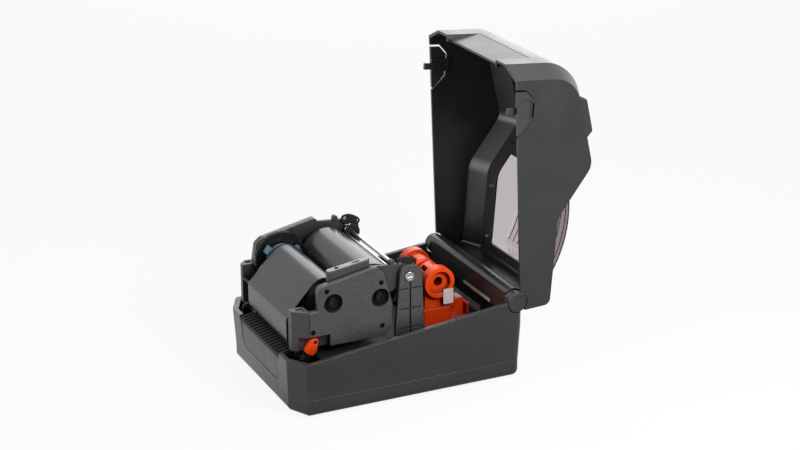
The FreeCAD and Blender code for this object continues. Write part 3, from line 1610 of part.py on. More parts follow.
os.makedirs("parts", exist_ok=True)
for name, make in nodes.items():
    shape = make()
    shape.exportStep("parts/%s.step" % name)
    sound = all(solid.isValid() and solid.Volume > 0 for solid in shape.Solids)
    state = "ok" if sound else "FAULT"
    print("%-20s solids %d  volume %.0f  %s" % (name, len(shape.Solids), shape.Volume, state))
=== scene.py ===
import json
import math
import random

import bmesh
import bpy
from mathutils import Matrix, Vector


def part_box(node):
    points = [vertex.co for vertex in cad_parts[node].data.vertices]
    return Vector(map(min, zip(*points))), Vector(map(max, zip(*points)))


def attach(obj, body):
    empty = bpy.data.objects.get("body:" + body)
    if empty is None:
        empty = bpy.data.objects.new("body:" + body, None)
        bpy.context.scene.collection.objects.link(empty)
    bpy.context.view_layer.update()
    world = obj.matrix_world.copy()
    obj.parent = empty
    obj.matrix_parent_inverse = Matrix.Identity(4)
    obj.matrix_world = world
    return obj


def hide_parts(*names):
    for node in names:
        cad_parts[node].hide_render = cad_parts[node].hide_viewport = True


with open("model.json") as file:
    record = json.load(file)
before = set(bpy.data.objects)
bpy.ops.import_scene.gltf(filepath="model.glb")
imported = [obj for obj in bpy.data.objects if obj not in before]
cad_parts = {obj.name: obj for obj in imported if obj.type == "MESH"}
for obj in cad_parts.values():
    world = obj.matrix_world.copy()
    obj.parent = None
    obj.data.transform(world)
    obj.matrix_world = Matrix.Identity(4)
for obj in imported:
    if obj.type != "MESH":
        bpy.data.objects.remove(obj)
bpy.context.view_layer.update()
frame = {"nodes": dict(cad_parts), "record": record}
nodes = frame["nodes"]
mm = 0.001
weldDistance = 1e-6             # joins the corners of a CAD node's loose triangles
sharpAngle = math.radians(35)   # edges steeper than this stay sharp on a smooth piece


def linear(hexColour):
    # sRGB hex to linear, as Blender's sockets want it
    parts = [int(hexColour[i:i + 2], 16) / 255 for i in (1, 3, 5)]
    return tuple(c / 12.92 if c <= 0.04045 else ((c + 0.055) / 1.055) ** 2.4 for c in parts) + (1.0,)


def addNode(tree, kind, inputs=None, **settings):
    # Adds a node; an input is a plain value or the output socket that feeds it.
    node = tree.nodes.new(kind)
    for key, value in settings.items():
        setattr(node, key, value)
    for key, value in (inputs or {}).items():
        if isinstance(value, bpy.types.NodeSocket):
            tree.links.new(value, node.inputs[key])
        else:
            node.inputs[key].default_value = value
    return node


def emptyMaterial(name):
    material = bpy.data.materials.new(name)
    material.use_nodes = True
    material.node_tree.nodes.clear()
    return material, material.node_tree


def linkedObject(name, data):
    made = bpy.data.objects.new(name, data)
    bpy.context.scene.collection.objects.link(made)
    return made


# Camera: where the photograph was taken from
cameraSet = {"place": (1.81419, -0.82293, 0.90739), "azimuth": 64.68, "elevation": 20.29,
             "focalPixels": 1887.87, "framePixels": 800, "sensor": 36.0, "farthest": 50}


def makeCamera():
    data = bpy.data.cameras.new("camera")
    data.sensor_width = cameraSet["sensor"]
    data.lens = cameraSet["focalPixels"] / cameraSet["framePixels"] * cameraSet["sensor"]
    data.clip_end = cameraSet["farthest"]
    camera = linkedObject("camera", data)
    camera.location = cameraSet["place"]
    camera.rotation_euler = (math.radians(90 - cameraSet["elevation"]), 0, math.radians(cameraSet["azimuth"]))
    bpy.context.scene.camera = camera


makeCamera()
bpy.context.scene.view_settings.view_transform = "Standard"
print("camera set")

# World: white where it is seen, mirrored or looked at through the window, and weaker as a light
worldSet = {"light": 0.25, "seen": 1.0, "colour": "#ffffff"}


def makeWorld():
    world = bpy.data.worlds.new("whiteSweep")
    bpy.context.scene.world = world
    world.use_nodes = True
    tree = world.node_tree
    tree.nodes.clear()
    path = addNode(tree, "ShaderNodeLightPath")
    seen = addNode(tree, "ShaderNodeMath", {
        0: path.outputs["Is Camera Ray"], 1: path.outputs["Is Glossy Ray"]}, operation="MAXIMUM")
    seen = addNode(tree, "ShaderNodeMath", {
        0: seen.outputs[0], 1: path.outputs["Is Transmission Ray"]}, operation="MAXIMUM")
    level = addNode(tree, "ShaderNodeMapRange", {
        "Value": seen.outputs[0], "To Min": worldSet["light"], "To Max": worldSet["seen"]})
    glow = addNode(tree, "ShaderNodeBackground", {
        "Color": linear(worldSet["colour"]), "Strength": level.outputs[0]})
    addNode(tree, "ShaderNodeOutputWorld", {"Surface": glow.outputs[0]})


# Lamps: soft boxes behind to the left, to the right and in front, and a weak one overhead
lampSet = {
    "overhead": {"place": (-0.35, 0.1, 1.9), "aim": (0.0, 0.0, 0.1), "size": 1.7, "watts": 4.0},
    "rear": {"place": (-2.0, 0.97, 0.95), "aim": (0.0, 0.0, 0.2), "size": 1.6, "watts": 13.0},
    "right": {"place": (0.85, 0.35, 0.8), "aim": (0.1, 0.2, 0.25), "size": 0.5, "watts": 12.5},
    "front": {"place": (0.3, -2.2, 0.8), "aim": (0.0, 0.0, 0.1), "size": 1.3, "watts": 27.0},
}


def makeLamp(name, spec):
    data = bpy.data.lights.new(name, "AREA")
    data.size = spec["size"]
    data.energy = spec["watts"]
    lamp = linkedObject(name, data)
    lamp.location = spec["place"]
    aim = Vector(spec["aim"]) - Vector(spec["place"])
    lamp.rotation_euler = aim.to_track_quat("-Z", "Y").to_euler()


# Floor: a sweep of matt paper. What the camera sees of it, also through the window, is lifted to white, and the
# shadow stays. Reflections see a painted light on it: white on the left, where the soft box lights it, and dim on the
# right.
floorSet = {
    "half": 9.0, "colour": "#dcdcdc", "glow": 0.9, "glowColour": "#ffffff", "glowStrength": 1.0,
    "bounceColour": "#8c8c8c",      # what lights the object from below; greyer, so that its lower sides stay dark
    "litFrom": 0.16, "litTo": -0.05, "litLeast": 0.1, "litMost": 1.0,    # across, from dim to white
}


def makeFloor():
    half = floorSet["half"]
    mesh = bpy.data.meshes.new("floor")
    mesh.from_pydata([(-half, -half, 0), (half, -half, 0), (half, half, 0), (-half, half, 0)], [], [(0, 1, 2, 3)])
    floor = linkedObject("floor", mesh)
    paper, tree = emptyMaterial("whitePaperSweep")
    path = addNode(tree, "ShaderNodeLightPath")
    seen = addNode(tree, "ShaderNodeMath", {
        0: path.outputs["Is Camera Ray"], 1: path.outputs["Is Transmission Ray"]}, operation="MAXIMUM")
    place = addNode(tree, "ShaderNodeTexCoord")
    across = addNode(tree, "ShaderNodeSeparateXYZ", {0: place.outputs["Object"]})
    lit = addNode(tree, "ShaderNodeMapRange", {
        "Value": across.outputs[0], "From Min": floorSet["litFrom"], "From Max": floorSet["litTo"],
        "To Min": floorSet["litLeast"], "To Max": floorSet["litMost"]})
    mirrored = addNode(tree, "ShaderNodeMath", {
        0: lit.outputs[0], 1: path.outputs["Is Glossy Ray"]}, operation="MULTIPLY")
    seen = addNode(tree, "ShaderNodeMath", {0: seen.outputs[0], 1: mirrored.outputs[0]}, operation="MAXIMUM")
    tone = addNode(tree, "ShaderNodeMix", {
        "Factor": path.outputs["Is Camera Ray"], 6: linear(floorSet["bounceColour"]),
        7: linear(floorSet["colour"])}, data_type="RGBA")
    matt = addNode(tree, "ShaderNodeBsdfDiffuse", {"Color": tone.outputs[2]})
    glow = addNode(tree, "ShaderNodeEmission", {
        "Color": linear(floorSet["glowColour"]), "Strength": floorSet["glowStrength"]})
    lift = addNode(tree, "ShaderNodeMath", {0: seen.outputs[0], 1: floorSet["glow"]}, operation="MULTIPLY")
    mixed = addNode(tree, "ShaderNodeMixShader", {0: lift.outputs[0], 1: matt.outputs[0], 2: glow.outputs[0]})
    addNode(tree, "ShaderNodeOutputMaterial", {"Surface": mixed.outputs[0]})
    mesh.materials.append(paper)


makeWorld()
for lampName, lampSpec in lampSet.items():
    makeLamp(lampName + "Light", lampSpec)
makeFloor()
print("studio set")

# Moulded plastics. Grain is the spark-eroded texture of the mould, drawn coarser than life so that it shows;
# sinks are the broad faint dips over ribs; edge is the small radius that every moulded edge has; the hollow tone
# is painted shade, the colour that recesses are darkened towards; crease is the width of the painted shade line
# in a seam or groove; the top tone is a painted highlight on faces that point up; relief is the height that the
# bump stands for. A finish may give its own value for any of these.
mouldSet = {
    "grainDetail": 2.0, "grainSpread": 0.55, "fleck": (0.32, 0.68), "reliefMm": 0.12,
    "sinkDetail": 3.0, "sinkSpread": 0.5, "sinks": (0.3, 0.7), "sinkTone": (0.93, 1.06), "sinkGloss": (-0.04, 0.05),
    "hollowMm": 45, "hollowRays": 16, "shutAt": 0.2, "openAt": 0.75,
    "creaseMm": 2.5, "creaseRays": 12, "crease": (0.35, 0.85), "creaseTone": (0.12, 1.0),
    "topFacing": (0.7, 0.9), "edgeRays": 6, "ior": 1.5,
}


def mouldedPlastic(name, own):
    spec = {**mouldSet, **own}
    material, tree = emptyMaterial(name)
    place = addNode(tree, "ShaderNodeTexCoord")
    grain = addNode(tree, "ShaderNodeTexNoise", {
        "Vector": place.outputs["Object"], "Scale": 1 / (spec["grainMm"] * mm),
        "Detail": spec["grainDetail"], "Roughness": spec["grainSpread"]})
    sinks = addNode(tree, "ShaderNodeTexNoise", {
        "Vector": place.outputs["Object"], "Scale": 1 / (spec["sinkMm"] * mm),
        "Detail": spec["sinkDetail"], "Roughness": spec["sinkSpread"]})
    fleck = addNode(tree, "ShaderNodeMapRange", {
        "Value": grain.outputs["Fac"], "From Min": spec["fleck"][0], "From Max": spec["fleck"][1]})
    tone = addNode(tree, "ShaderNodeMix", {
        "Factor": fleck.outputs[0], 6: linear(spec["shade"]), 7: linear(spec["colour"])}, data_type="RGBA")
    cloud = addNode(tree, "ShaderNodeMapRange", {
        "Value": sinks.outputs["Fac"], "From Min": spec["sinks"][0], "From Max": spec["sinks"][1],
        "To Min": spec["sinkTone"][0], "To Max": spec["sinkTone"][1]})
    colour = addNode(tree, "ShaderNodeMix", {
        "Factor": 1.0, 6: tone.outputs[2], 7: cloud.outputs[0]}, data_type="RGBA", blend_type="MULTIPLY")
    # painted shade: the colour is darkened towards the hollow tone where ambient occlusion finds the surface closed in
    shade = addNode(tree, "ShaderNodeAmbientOcclusion", {"Distance": spec["hollowMm"] * mm}, samples=spec["hollowRays"])
    unshaded = addNode(tree, "ShaderNodeMapRange", {
        "Value": shade.outputs["AO"], "From Min": spec["shutAt"], "From Max": spec["openAt"]})
    colour = addNode(tree, "ShaderNodeMix", {
        "Factor": unshaded.outputs[0], 6: linear(spec["hollow"]), 7: colour.outputs[2]}, data_type="RGBA")
    # painted shade: a short ambient occlusion darkens seams, grooves and holes to a dark line
    seam = addNode(tree, "ShaderNodeAmbientOcclusion", {"Distance": spec["creaseMm"] * mm}, samples=spec["creaseRays"])
    creaseShade = addNode(tree, "ShaderNodeMapRange", {
        "Value": seam.outputs["AO"], "From Min": spec["crease"][0], "From Max": spec["crease"][1],
        "To Min": spec["creaseTone"][0], "To Max": spec["creaseTone"][1]})
    colour = addNode(tree, "ShaderNodeMix", {
        "Factor": 1.0, 6: colour.outputs[2], 7: creaseShade.outputs[0]}, data_type="RGBA", blend_type="MULTIPLY")
    # painted highlight: faces that point up are lifted towards the top tone
    if "top" in spec:
        facing = addNode(tree, "ShaderNodeSeparateXYZ", {0: place.outputs["Normal"]})
        upward = addNode(tree, "ShaderNodeMapRange", {
            "Value": facing.outputs[2], "From Min": spec["topFacing"][0], "From Max": spec["topFacing"][1]})
        colour = addNode(tree, "ShaderNodeMix", {
            "Factor": upward.outputs[0], 6: colour.outputs[2], 7: linear(spec["top"])}, data_type="RGBA")
    rough = addNode(tree, "ShaderNodeMapRange", {
        "Value": sinks.outputs["Fac"], "From Min": spec["sinks"][0], "From Max": spec["sinks"][1],
        "To Min": spec["roughness"] + spec["sinkGloss"][0], "To Max": spec["roughness"] + spec["sinkGloss"][1]})
    edge = addNode(tree, "ShaderNodeBevel", {"Radius": spec["edgeMm"] * mm}, samples=spec["edgeRays"])
    bump = addNode(tree, "ShaderNodeBump", {
        "Strength": spec["grainDepth"], "Distance": spec["reliefMm"] * mm,
        "Height": grain.outputs["Fac"], "Normal": edge.outputs[0]})
    surface = addNode(tree, "ShaderNodeBsdfPrincipled", {
        "Base Color": colour.outputs[2], "Roughness": rough.outputs[0], "IOR": spec["ior"],
        "Normal": bump.outputs[0]})
    addNode(tree, "ShaderNodeOutputMaterial", {"Surface": surface.outputs[0]})
    return material


# An ior below 1.5 stands for a surface too rough or oily to mirror much, matched.
plasticSet = {
    # ABS of the cases: even satin grain, dark grey that lifts at grazing angles
    "caseAbs": {"colour": "#39383a", "shade": "#2f2e30", "hollow": "#151415", "roughness": 0.3,
                "grainMm": 0.9, "grainDepth": 0.4, "sinkMm": 38, "edgeMm": 0.7},
    # inset plates: the same ABS with a finer, duller grain
    "panelAbs": {"colour": "#3c3b3d", "shade": "#333234", "hollow": "#1c1b1c", "roughness": 0.4,
                 "grainMm": 0.7, "grainDepth": 0.4, "sinkMm": 30, "edgeMm": 0.4},
    # tear ledge: dark dull ABS, so that the ribs show by their edges
    "ledgeAbs": {"colour": "#171617", "shade": "#131213", "hollow": "#080708", "roughness": 0.55, "ior": 1.36,
                 "grainMm": 0.7, "grainDepth": 0.3, "sinkMm": 30, "edgeMm": 0.4},
    # lenses of the status lights: pale acrylic, polished
    "lensAcrylic": {"colour": "#b4c2bb", "shade": "#a8b6af", "hollow": "#6c7a73", "roughness": 0.12,
                    "grainMm": 0.5, "grainDepth": 0.05, "sinkMm": 6, "edgeMm": 0.4},
    # lining of the bay: near-black ABS, matt, so that it sinks into shadow
    "deckAbs": {"colour": "#1c1b1c", "shade": "#161516", "hollow": "#0c0b0c", "roughness": 0.6, "ior": 1.38,
                "grainMm": 0.8, "grainDepth": 0.25, "sinkMm": 30, "edgeMm": 0.5},
    # glass-filled nylon of the module: coarse speckled grain
    "moduleNylon": {"colour": "#565455", "shade": "#393738", "hollow": "#131213", "roughness": 0.44,
                    "grainMm": 1.1, "grainDepth": 0.7, "sinkMm": 24, "edgeMm": 0.5},
    # cover of the gears: the same nylon from a smoother mould, so that its top edge shines; a darker copy of it,
    # painted shade for its inner face
    "coverNylon": {"colour": "#454445", "shade": "#302f30", "hollow": "#111011", "roughness": 0.24,
                   "grainMm": 1.1, "grainDepth": 0.3, "sinkMm": 24, "edgeMm": 0.6},
    # frame of the module: a darker copy of the same nylon, painted shade, with deeper painted shade on the inner walls
    # deep between the rolls
    "frameNylon": {"colour": "#4b494a", "shade": "#323031", "hollow": "#0f0e0f", "roughness": 0.46,
                   "hollowMm": 120, "openAt": 0.95,
                   "grainMm": 1.1, "grainDepth": 0.7, "sinkMm": 24, "edgeMm": 0.5},
    # clamp cover: ABS, with a painted highlight that makes its upward top paler, where it catches the light
    "clampAbs": {"colour": "#4a494a", "shade": "#3f3e3f", "hollow": "#1c1b1c", "top": "#8d898b", "roughness": 0.32,
                 "grainMm": 0.8, "grainDepth": 0.25, "sinkMm": 20, "edgeMm": 0.6},
    # orange ABS of what the hand moves: glossy, with painted shade that turns it deep red in its hollows, standing for
    # walls that throw their colour on each other
    "orangeAbs": {"colour": "#ff5608", "shade": "#f24404", "hollow": "#7a0a00", "roughness": 0.34,
                  "hollowMm": 75, "openAt": 0.86,
                  "grainMm": 1.4, "grainDepth": 0.2, "sinkMm": 14, "edgeMm": 0.6},
    # acetal of small black parts: waxy and smooth
    "blackAcetal": {"colour": "#171617", "shade": "#121112", "hollow": "#080708", "roughness": 0.34,
                    "grainMm": 0.8, "grainDepth": 0.2, "sinkMm": 18, "edgeMm": 0.4},
    # bearings and spindle ends: black acetal, dull with oil
    "boreAcetal": {"colour": "#0f0e0f", "shade": "#0b0a0b", "hollow": "#050505", "roughness": 0.6, "ior": 1.32,
                   "grainMm": 0.8, "grainDepth": 0.2, "sinkMm": 18, "edgeMm": 0.3},
    # hub of the take-up side: blue-grey acetal, waxy
    "hubAcetal": {"colour": "#5f7f93", "shade": "#52738a", "hollow": "#23343f", "roughness": 0.36,
                  "grainMm": 0.9, "grainDepth": 0.2, "sinkMm": 12, "edgeMm": 0.5},
    # gears: graphite-filled nylon, black with a faint sheen
    "gearNylon": {"colour": "#191819", "shade": "#141314", "hollow": "#090809", "roughness": 0.4,
                  "grainMm": 0.7, "grainDepth": 0.2, "sinkMm": 10, "edgeMm": 0.3},
    # key caps: mid-grey ABS with a soft sheen
    "keyAbs": {"colour": "#8b8b8d", "shade": "#808082", "hollow": "#4a4a4c", "roughness": 0.45,
               "grainMm": 0.5, "grainDepth": 0.3, "sinkMm": 8, "edgeMm": 0.5},
    # ribbon core: wound grey board, dull and fibrous
    "coreBoard": {"colour": "#8d8378", "shade": "#7d7368", "hollow": "#4a443e", "roughness": 0.85,
                  "grainMm": 0.6, "grainDepth": 0.6, "sinkMm": 9, "edgeMm": 0.3},
    # silicone rubber of platen and feet: matt
    "siliconeRubber": {"colour": "#2b2b2d", "shade": "#242426", "hollow": "#121213", "roughness": 0.75,
                       "grainMm": 0.5, "grainDepth": 0.35, "sinkMm": 12, "edgeMm": 0.5},
    # blank placards of the bay: coated white card, even
    "whiteCard": {"colour": "#eceaea", "shade": "#e2e0e0", "hollow": "#c9c7c7", "roughness": 0.6,
                  "grainMm": 0.4, "grainDepth": 0.15, "sinkMm": 15, "edgeMm": 0.1},
    # blank placards of the holder: thin paper, with a warm tint painted in for the orange light that comes through it
    # from the holder under it
    "palePaper": {"colour": "#cdb9b6", "shade": "#c3aeab", "hollow": "#a8928f", "roughness": 0.6,
                  "grainMm": 0.4, "grainDepth": 0.15, "sinkMm": 9, "edgeMm": 0.1},
}
finishes = {name: mouldedPlastic(name, own) for name, own in plasticSet.items()}

# Metals: drawn or turned, so fine lines run along one axis; they are drawn coarser than life so that they show, and
# the stretch is how much narrower than long they are.
drawnSet = {"lineDetail": 3.0, "lines": (0.3, 0.7), "lineGloss": (-0.06, 0.08), "lineDepth": 0.15,
            "reliefMm": 0.05, "edgeRays": 6}


def drawnMetal(name, own):
    spec = {**drawnSet, **own}
    material, tree = emptyMaterial(name)
    place = addNode(tree, "ShaderNodeTexCoord")
    stretch = addNode(tree, "ShaderNodeMapping", {"Vector": place.outputs["Object"], "Scale": spec["stretch"]})
    lines = addNode(tree, "ShaderNodeTexNoise", {
        "Vector": stretch.outputs[0], "Scale": 1 / (spec["lineMm"] * mm), "Detail": spec["lineDetail"]})
    tone = addNode(tree, "ShaderNodeMix", {
        "Factor": lines.outputs["Fac"], 6: linear(spec["shade"]), 7: linear(spec["colour"])}, data_type="RGBA")
    rough = addNode(tree, "ShaderNodeMapRange", {
        "Value": lines.outputs["Fac"], "From Min": spec["lines"][0], "From Max": spec["lines"][1],
        "To Min": spec["roughness"] + spec["lineGloss"][0], "To Max": spec["roughness"] + spec["lineGloss"][1]})
    edge = addNode(tree, "ShaderNodeBevel", {"Radius": spec["edgeMm"] * mm}, samples=spec["edgeRays"])
    bump = addNode(tree, "ShaderNodeBump", {
        "Strength": spec["lineDepth"], "Distance": spec["reliefMm"] * mm,
        "Height": lines.outputs["Fac"], "Normal": edge.outputs[0]})
    surface = addNode(tree, "ShaderNodeBsdfPrincipled", {
        "Base Color": tone.outputs[2], "Metallic": 1.0, "Roughness": rough.outputs[0], "Normal": bump.outputs[0]})
    addNode(tree, "ShaderNodeOutputMaterial", {"Surface": surface.outputs[0]})
    return material


metalSet = {
    # zinc-plated sheet and screws: soft grey shine
    "zincSteel": {"colour": "#b9b9bb", "shade": "#98989b", "roughness": 0.34, "lineMm": 0.5,
                  "stretch": (0.1, 1.0, 1.0), "edgeMm": 0.3},
    # ground and polished bar: bright, with a narrow streak along it
    "polishedSteel": {"colour": "#d6d6d8", "shade": "#c2c2c5", "roughness": 0.2, "lineMm": 0.4,
                      "stretch": (0.06, 1.0, 1.0), "edgeMm": 0.2},
    # black-oxide screws and bar: dark, with a dull glint
    "blackSteel": {"colour": "#2c2b2b", "shade": "#1d1c1c", "roughness": 0.4, "lineMm": 0.5,
                   "stretch": (1.0, 1.0, 1.0), "edgeMm": 0.2},
    # anodised heat sink of the head: even satin grey
    "anodisedHead": {"colour": "#8d8f93", "shade": "#7d7f83", "roughness": 0.36, "lineMm": 0.6,
                     "stretch": (0.08, 1.0, 1.0), "edgeMm": 0.3},
}
finishes.update({name: drawnMetal(name, own) for name, own in metalSet.items()})

# Thermal transfer film: thin polyester with a wax coat, smooth, with faint stretch lines along its run
filmSet = {"colour": "#2d2c2f", "shade": "#252427", "roughness": 0.24, "ior": 1.55, "lineMm": 3.0,
           "lineDetail": 2.0, "lineDepth": 0.2, "reliefMm": 0.1, "stretch": (1.0, 0.06, 0.06)}


def waxFilm():
    material, tree = emptyMaterial("waxFilm")
    place = addNode(tree, "ShaderNodeTexCoord")
    stretch = addNode(tree, "ShaderNodeMapping", {"Vector": place.outputs["Object"], "Scale": filmSet["stretch"]})
    lines = addNode(tree, "ShaderNodeTexNoise", {
        "Vector": stretch.outputs[0], "Scale": 1 / (filmSet["lineMm"] * mm), "Detail": filmSet["lineDetail"]})
    tone = addNode(tree, "ShaderNodeMix", {
        "Factor": lines.outputs["Fac"], 6: linear(filmSet["shade"]), 7: linear(filmSet["colour"])}, data_type="RGBA")
    bump = addNode(tree, "ShaderNodeBump", {
        "Strength": filmSet["lineDepth"], "Distance": filmSet["reliefMm"] * mm, "Height": lines.outputs["Fac"]})
    surface = addNode(tree, "ShaderNodeBsdfPrincipled", {
        "Base Color": tone.outputs[2], "IOR": filmSet["ior"], "Roughness": filmSet["roughness"],
        "Normal": bump.outputs[0]})
    addNode(tree, "ShaderNodeOutputMaterial", {"Surface": surface.outputs[0]})
    return material


finishes["waxFilm"] = waxFilm()

# Window: polycarbonate with a grey-mauve smoke, so it darkens where the eye looks along the wall; its ior is below
# the real 1.58, matched
windowSet = {"colour": "#fbf7fa", "smoke": "#a89ca4", "density": 420.0, "roughness": 0.06, "ior": 1.3,
             "waveMm": 40.0, "waveDetail": 2.0, "waveDepth": 0.1, "reliefMm": 0.3}


def smokedPane():
    material, tree = emptyMaterial("smokedPolycarbonate")
    place = addNode(tree, "ShaderNodeTexCoord")
    wave = addNode(tree, "ShaderNodeTexNoise", {
        "Vector": place.outputs["Object"], "Scale": 1 / (windowSet["waveMm"] * mm),
        "Detail": windowSet["waveDetail"]})
    bump = addNode(tree, "ShaderNodeBump", {
        "Strength": windowSet["waveDepth"], "Distance": windowSet["reliefMm"] * mm, "Height": wave.outputs["Fac"]})
    surface = addNode(tree, "ShaderNodeBsdfPrincipled", {
        "Base Color": linear(windowSet["colour"]), "IOR": windowSet["ior"], "Roughness": windowSet["roughness"],
        "Transmission Weight": 1.0, "Normal": bump.outputs[0]})
    smoke = addNode(tree, "ShaderNodeVolumeAbsorption", {
        "Color": linear(windowSet["smoke"]), "Density": windowSet["density"]})
    addNode(tree, "ShaderNodeOutputMaterial", {"Surface": surface.outputs[0], "Volume": smoke.outputs[0]})
    return material


finishes["smokedPolycarbonate"] = smokedPane()

# Printed circuit: glossy green solder mask, paler in lines where tracks lie under it
boardSet = {"colour": "#1f5a3c", "track": "#2a7350", "trackMm": 2.4, "tracksPerCell": 4, "trackWidth": 0.03,
            "roughness": 0.35}


def solderMask():
    material, tree = emptyMaterial("solderMask")
    place = addNode(tree, "ShaderNodeTexCoord")
    tracks = addNode(tree, "ShaderNodeTexBrick", {
        "Vector": place.outputs["Object"], "Scale": 1 / (boardSet["trackMm"] * boardSet["tracksPerCell"] * mm),
        "Color1": linear(boardSet["colour"]), "Color2": linear(boardSet["colour"]),
        "Mortar": linear(boardSet["track"]), "Mortar Size": boardSet["trackWidth"]})
    surface = addNode(tree, "ShaderNodeBsdfPrincipled", {
        "Base Color": tracks.outputs["Color"], "Roughness": boardSet["roughness"]})
    addNode(tree, "ShaderNodeOutputMaterial", {"Surface": surface.outputs[0]})
    return material


finishes["solderMask"] = solderMask()
print("finishes made:", len(finishes))

# Which finish each material slot of the record gets, and the nodes that differ from their slot
slotFinish = {
    "case_plastic": "caseAbs", "panel_plastic": "panelAbs", "deck_plastic": "deckAbs",
    "module_plastic": "moduleNylon", "clamp_plastic": "clampAbs", "orange_plastic": "orangeAbs",
    "black_plastic": "blackAcetal", "hub_plastic": "hubAcetal", "gear_plastic": "gearNylon",
    "button_plastic": "keyAbs", "light_lens": "lensAcrylic", "window_clear": "smokedPolycarbonate",
    "film": "waxFilm", "core_board": "coreBoard", "rubber": "siliconeRubber", "steel": "zincSteel",
    "bright_steel": "polishedSteel", "head_metal": "anodisedHead", "circuit_board": "solderMask",
}
nodeFinish = {
    "tear_ledge": "ledgeAbs", "module_frame": "frameNylon", "gear_cover_left": "coverNylon",
    "platen_bushes": "blackAcetal", "guide_bar": "blackSteel", "supply_spindle": "blackAcetal",
    "take_up_spindle": "blackAcetal", "pivot_bracket_right": "moduleNylon", "pivot_bracket_left": "moduleNylon",
}
nodeSlot = {part["node"]: part["material_slot"] for part in frame["record"]["subparts"]}
for name, piece in nodes.items():
    piece.data.materials.clear()
    piece.data.materials.append(finishes[nodeFinish.get(name, slotFinish[nodeSlot[name]])])
print("CAD nodes finished:", len(nodes))


def finishPiece(name, mesh, finish, body, slotName, *replaced):
    # Puts a mesh whose place is already in its vertices into the scene and ties it to its body.
    mesh.name = name
    mesh.materials.clear()
    mesh.materials.append(finishes[finish])
    piece = linkedObject(name, mesh)
    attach(piece, body)
    if replaced:
        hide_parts(*replaced)
    return piece


def meshFromShape(name, shape):
    mesh = bpy.data.meshes.new(name)
    shape.to_mesh(mesh)
    shape.free()
    return mesh


def smoothFaces(mesh):
    for face in mesh.polygons:
        face.use_smooth = True
    return mesh


def evaluatedMesh(holder):
    # Plain mesh of what a curve or a modifier gives; the holder goes.
    mesh = bpy.data.meshes.new_from_object(holder.evaluated_get(bpy.context.evaluated_depsgraph_get()))
    bpy.data.objects.remove(holder)
    return mesh


def axisThrough(low, high):
    # Where an axis along X goes through the middle of a box, as (y, z).
    return (low.y + high.y) / 2, (low.z + high.z) / 2


def spunMesh(name, outline, centre, steps):
    # Turns (x, radius) points about an axis along X through centre (y, z).
    shape = bmesh.new()
    rings = []
    for x, radius in outline:
        ring = []
        for i in range(steps):
            angle = 2 * math.pi * i / steps
            y = centre[0] + radius * math.cos(angle)
            z = centre[1] + radius * math.sin(angle)
            ring.append(shape.verts.new((x, y, z)))
        rings.append(ring)
    for a, b in zip(rings, rings[1:] + rings[:1]):
        for i in range(steps):
            j = (i + 1) % steps
            shape.faces.new((a[i], a[j], b[j], b[i]))
    bmesh.ops.recalc_face_normals(shape, faces=shape.faces)
    mesh = smoothFaces(meshFromShape(name, shape))
    mesh.set_sharp_from_angle(angle=sharpAngle)
    return mesh


# Wound ribbon: edges of the turns stand a little proud of each other at both ends
rollSet = {"steps": 120, "turnsShown": 9, "edgeStep": 0.35 * mm, "turnGap": 0.02 * mm,
           "stations": 26, "wander": 0.02 * mm, "sink": 0.03 * mm, "seed": 7,
           "slack": 0.07 * mm}      # keeps the roll clear of the film round it at every turn


def woundRoll(name, node, body):
    low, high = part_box(node)
    coreLow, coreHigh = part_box("supply_core")
    radius = (high.z - low.z) / 2 - rollSet["slack"]
    inner = (coreHigh.z - coreLow.z) / 2
    chance = random.Random(rollSet["seed"])
    turns = rollSet["turnsShown"]
    gap = rollSet["turnGap"]
    radii = [inner + (radius - inner) * i / turns for i in range(turns + 1)]
    outline = []
    for r0, r1 in zip(radii, radii[1:]):
        x = low.x + rollSet["edgeStep"] * chance.random()
        outline += [(x, r0 + gap), (x, r1 - gap)]
    for i in range(1, rollSet["stations"]):
        x = low.x + (high.x - low.x) * i / rollSet["stations"]
        outline.append((x, radius - rollSet["sink"] - rollSet["wander"] * chance.random()))
    for r1, r0 in zip(radii[::-1], radii[-2::-1]):
        x = high.x - rollSet["edgeStep"] * chance.random()
        outline += [(x, r1 - gap), (x, r0 + gap)]
    mesh = spunMesh(name, outline, axisThrough(low, high), rollSet["steps"])
    finishPiece(name, mesh, "waxFilm", body, "film", node)


woundRoll("supplyRoll", "supply_ribbon", "supply")
woundRoll("takeUpRoll", "take_up_ribbon", "take_up")
print("ribbon rolls wound")

# Hub of the take-up side, turned so that two of its lobes stand over the roll
hubSet = {"turn": 24.0}


def takeUpHub():
    axis = Vector((0, *axisThrough(*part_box("take_up_ribbon"))))
    shape = bmesh.new()
    shape.from_mesh(nodes["take_up_hub"].data)
    bmesh.ops.remove_doubles(shape, verts=shape.verts, dist=weldDistance)
    turn = Matrix.Rotation(math.radians(hubSet["turn"]), 3, "X")
    bmesh.ops.rotate(shape, cent=axis, matrix=turn, verts=shape.verts)
    mesh = smoothFaces(meshFromShape("takeUpHub", shape))
    mesh.set_sharp_from_angle(angle=sharpAngle)
    finishPiece("takeUpHub", mesh, "hubAcetal", "take_up", "hub_plastic", "take_up_hub")


takeUpHub()
print("hub turned")

# Ribbon film, tight from the take-up roll over the guide bar, down to the print line and back under the head
filmRun = {"thickness": 0.12 * mm, "bend": 1.6 * mm, "bendSteps": 4, "across": 48, "along": 4 * mm,
           "wrap": 165.0, "wrapSteps": 40, "barRise": 1.2 * mm,
           "headBack": 15.8 * mm, "headFront": 6.5 * mm, "lowDrop": 9.0 * mm}


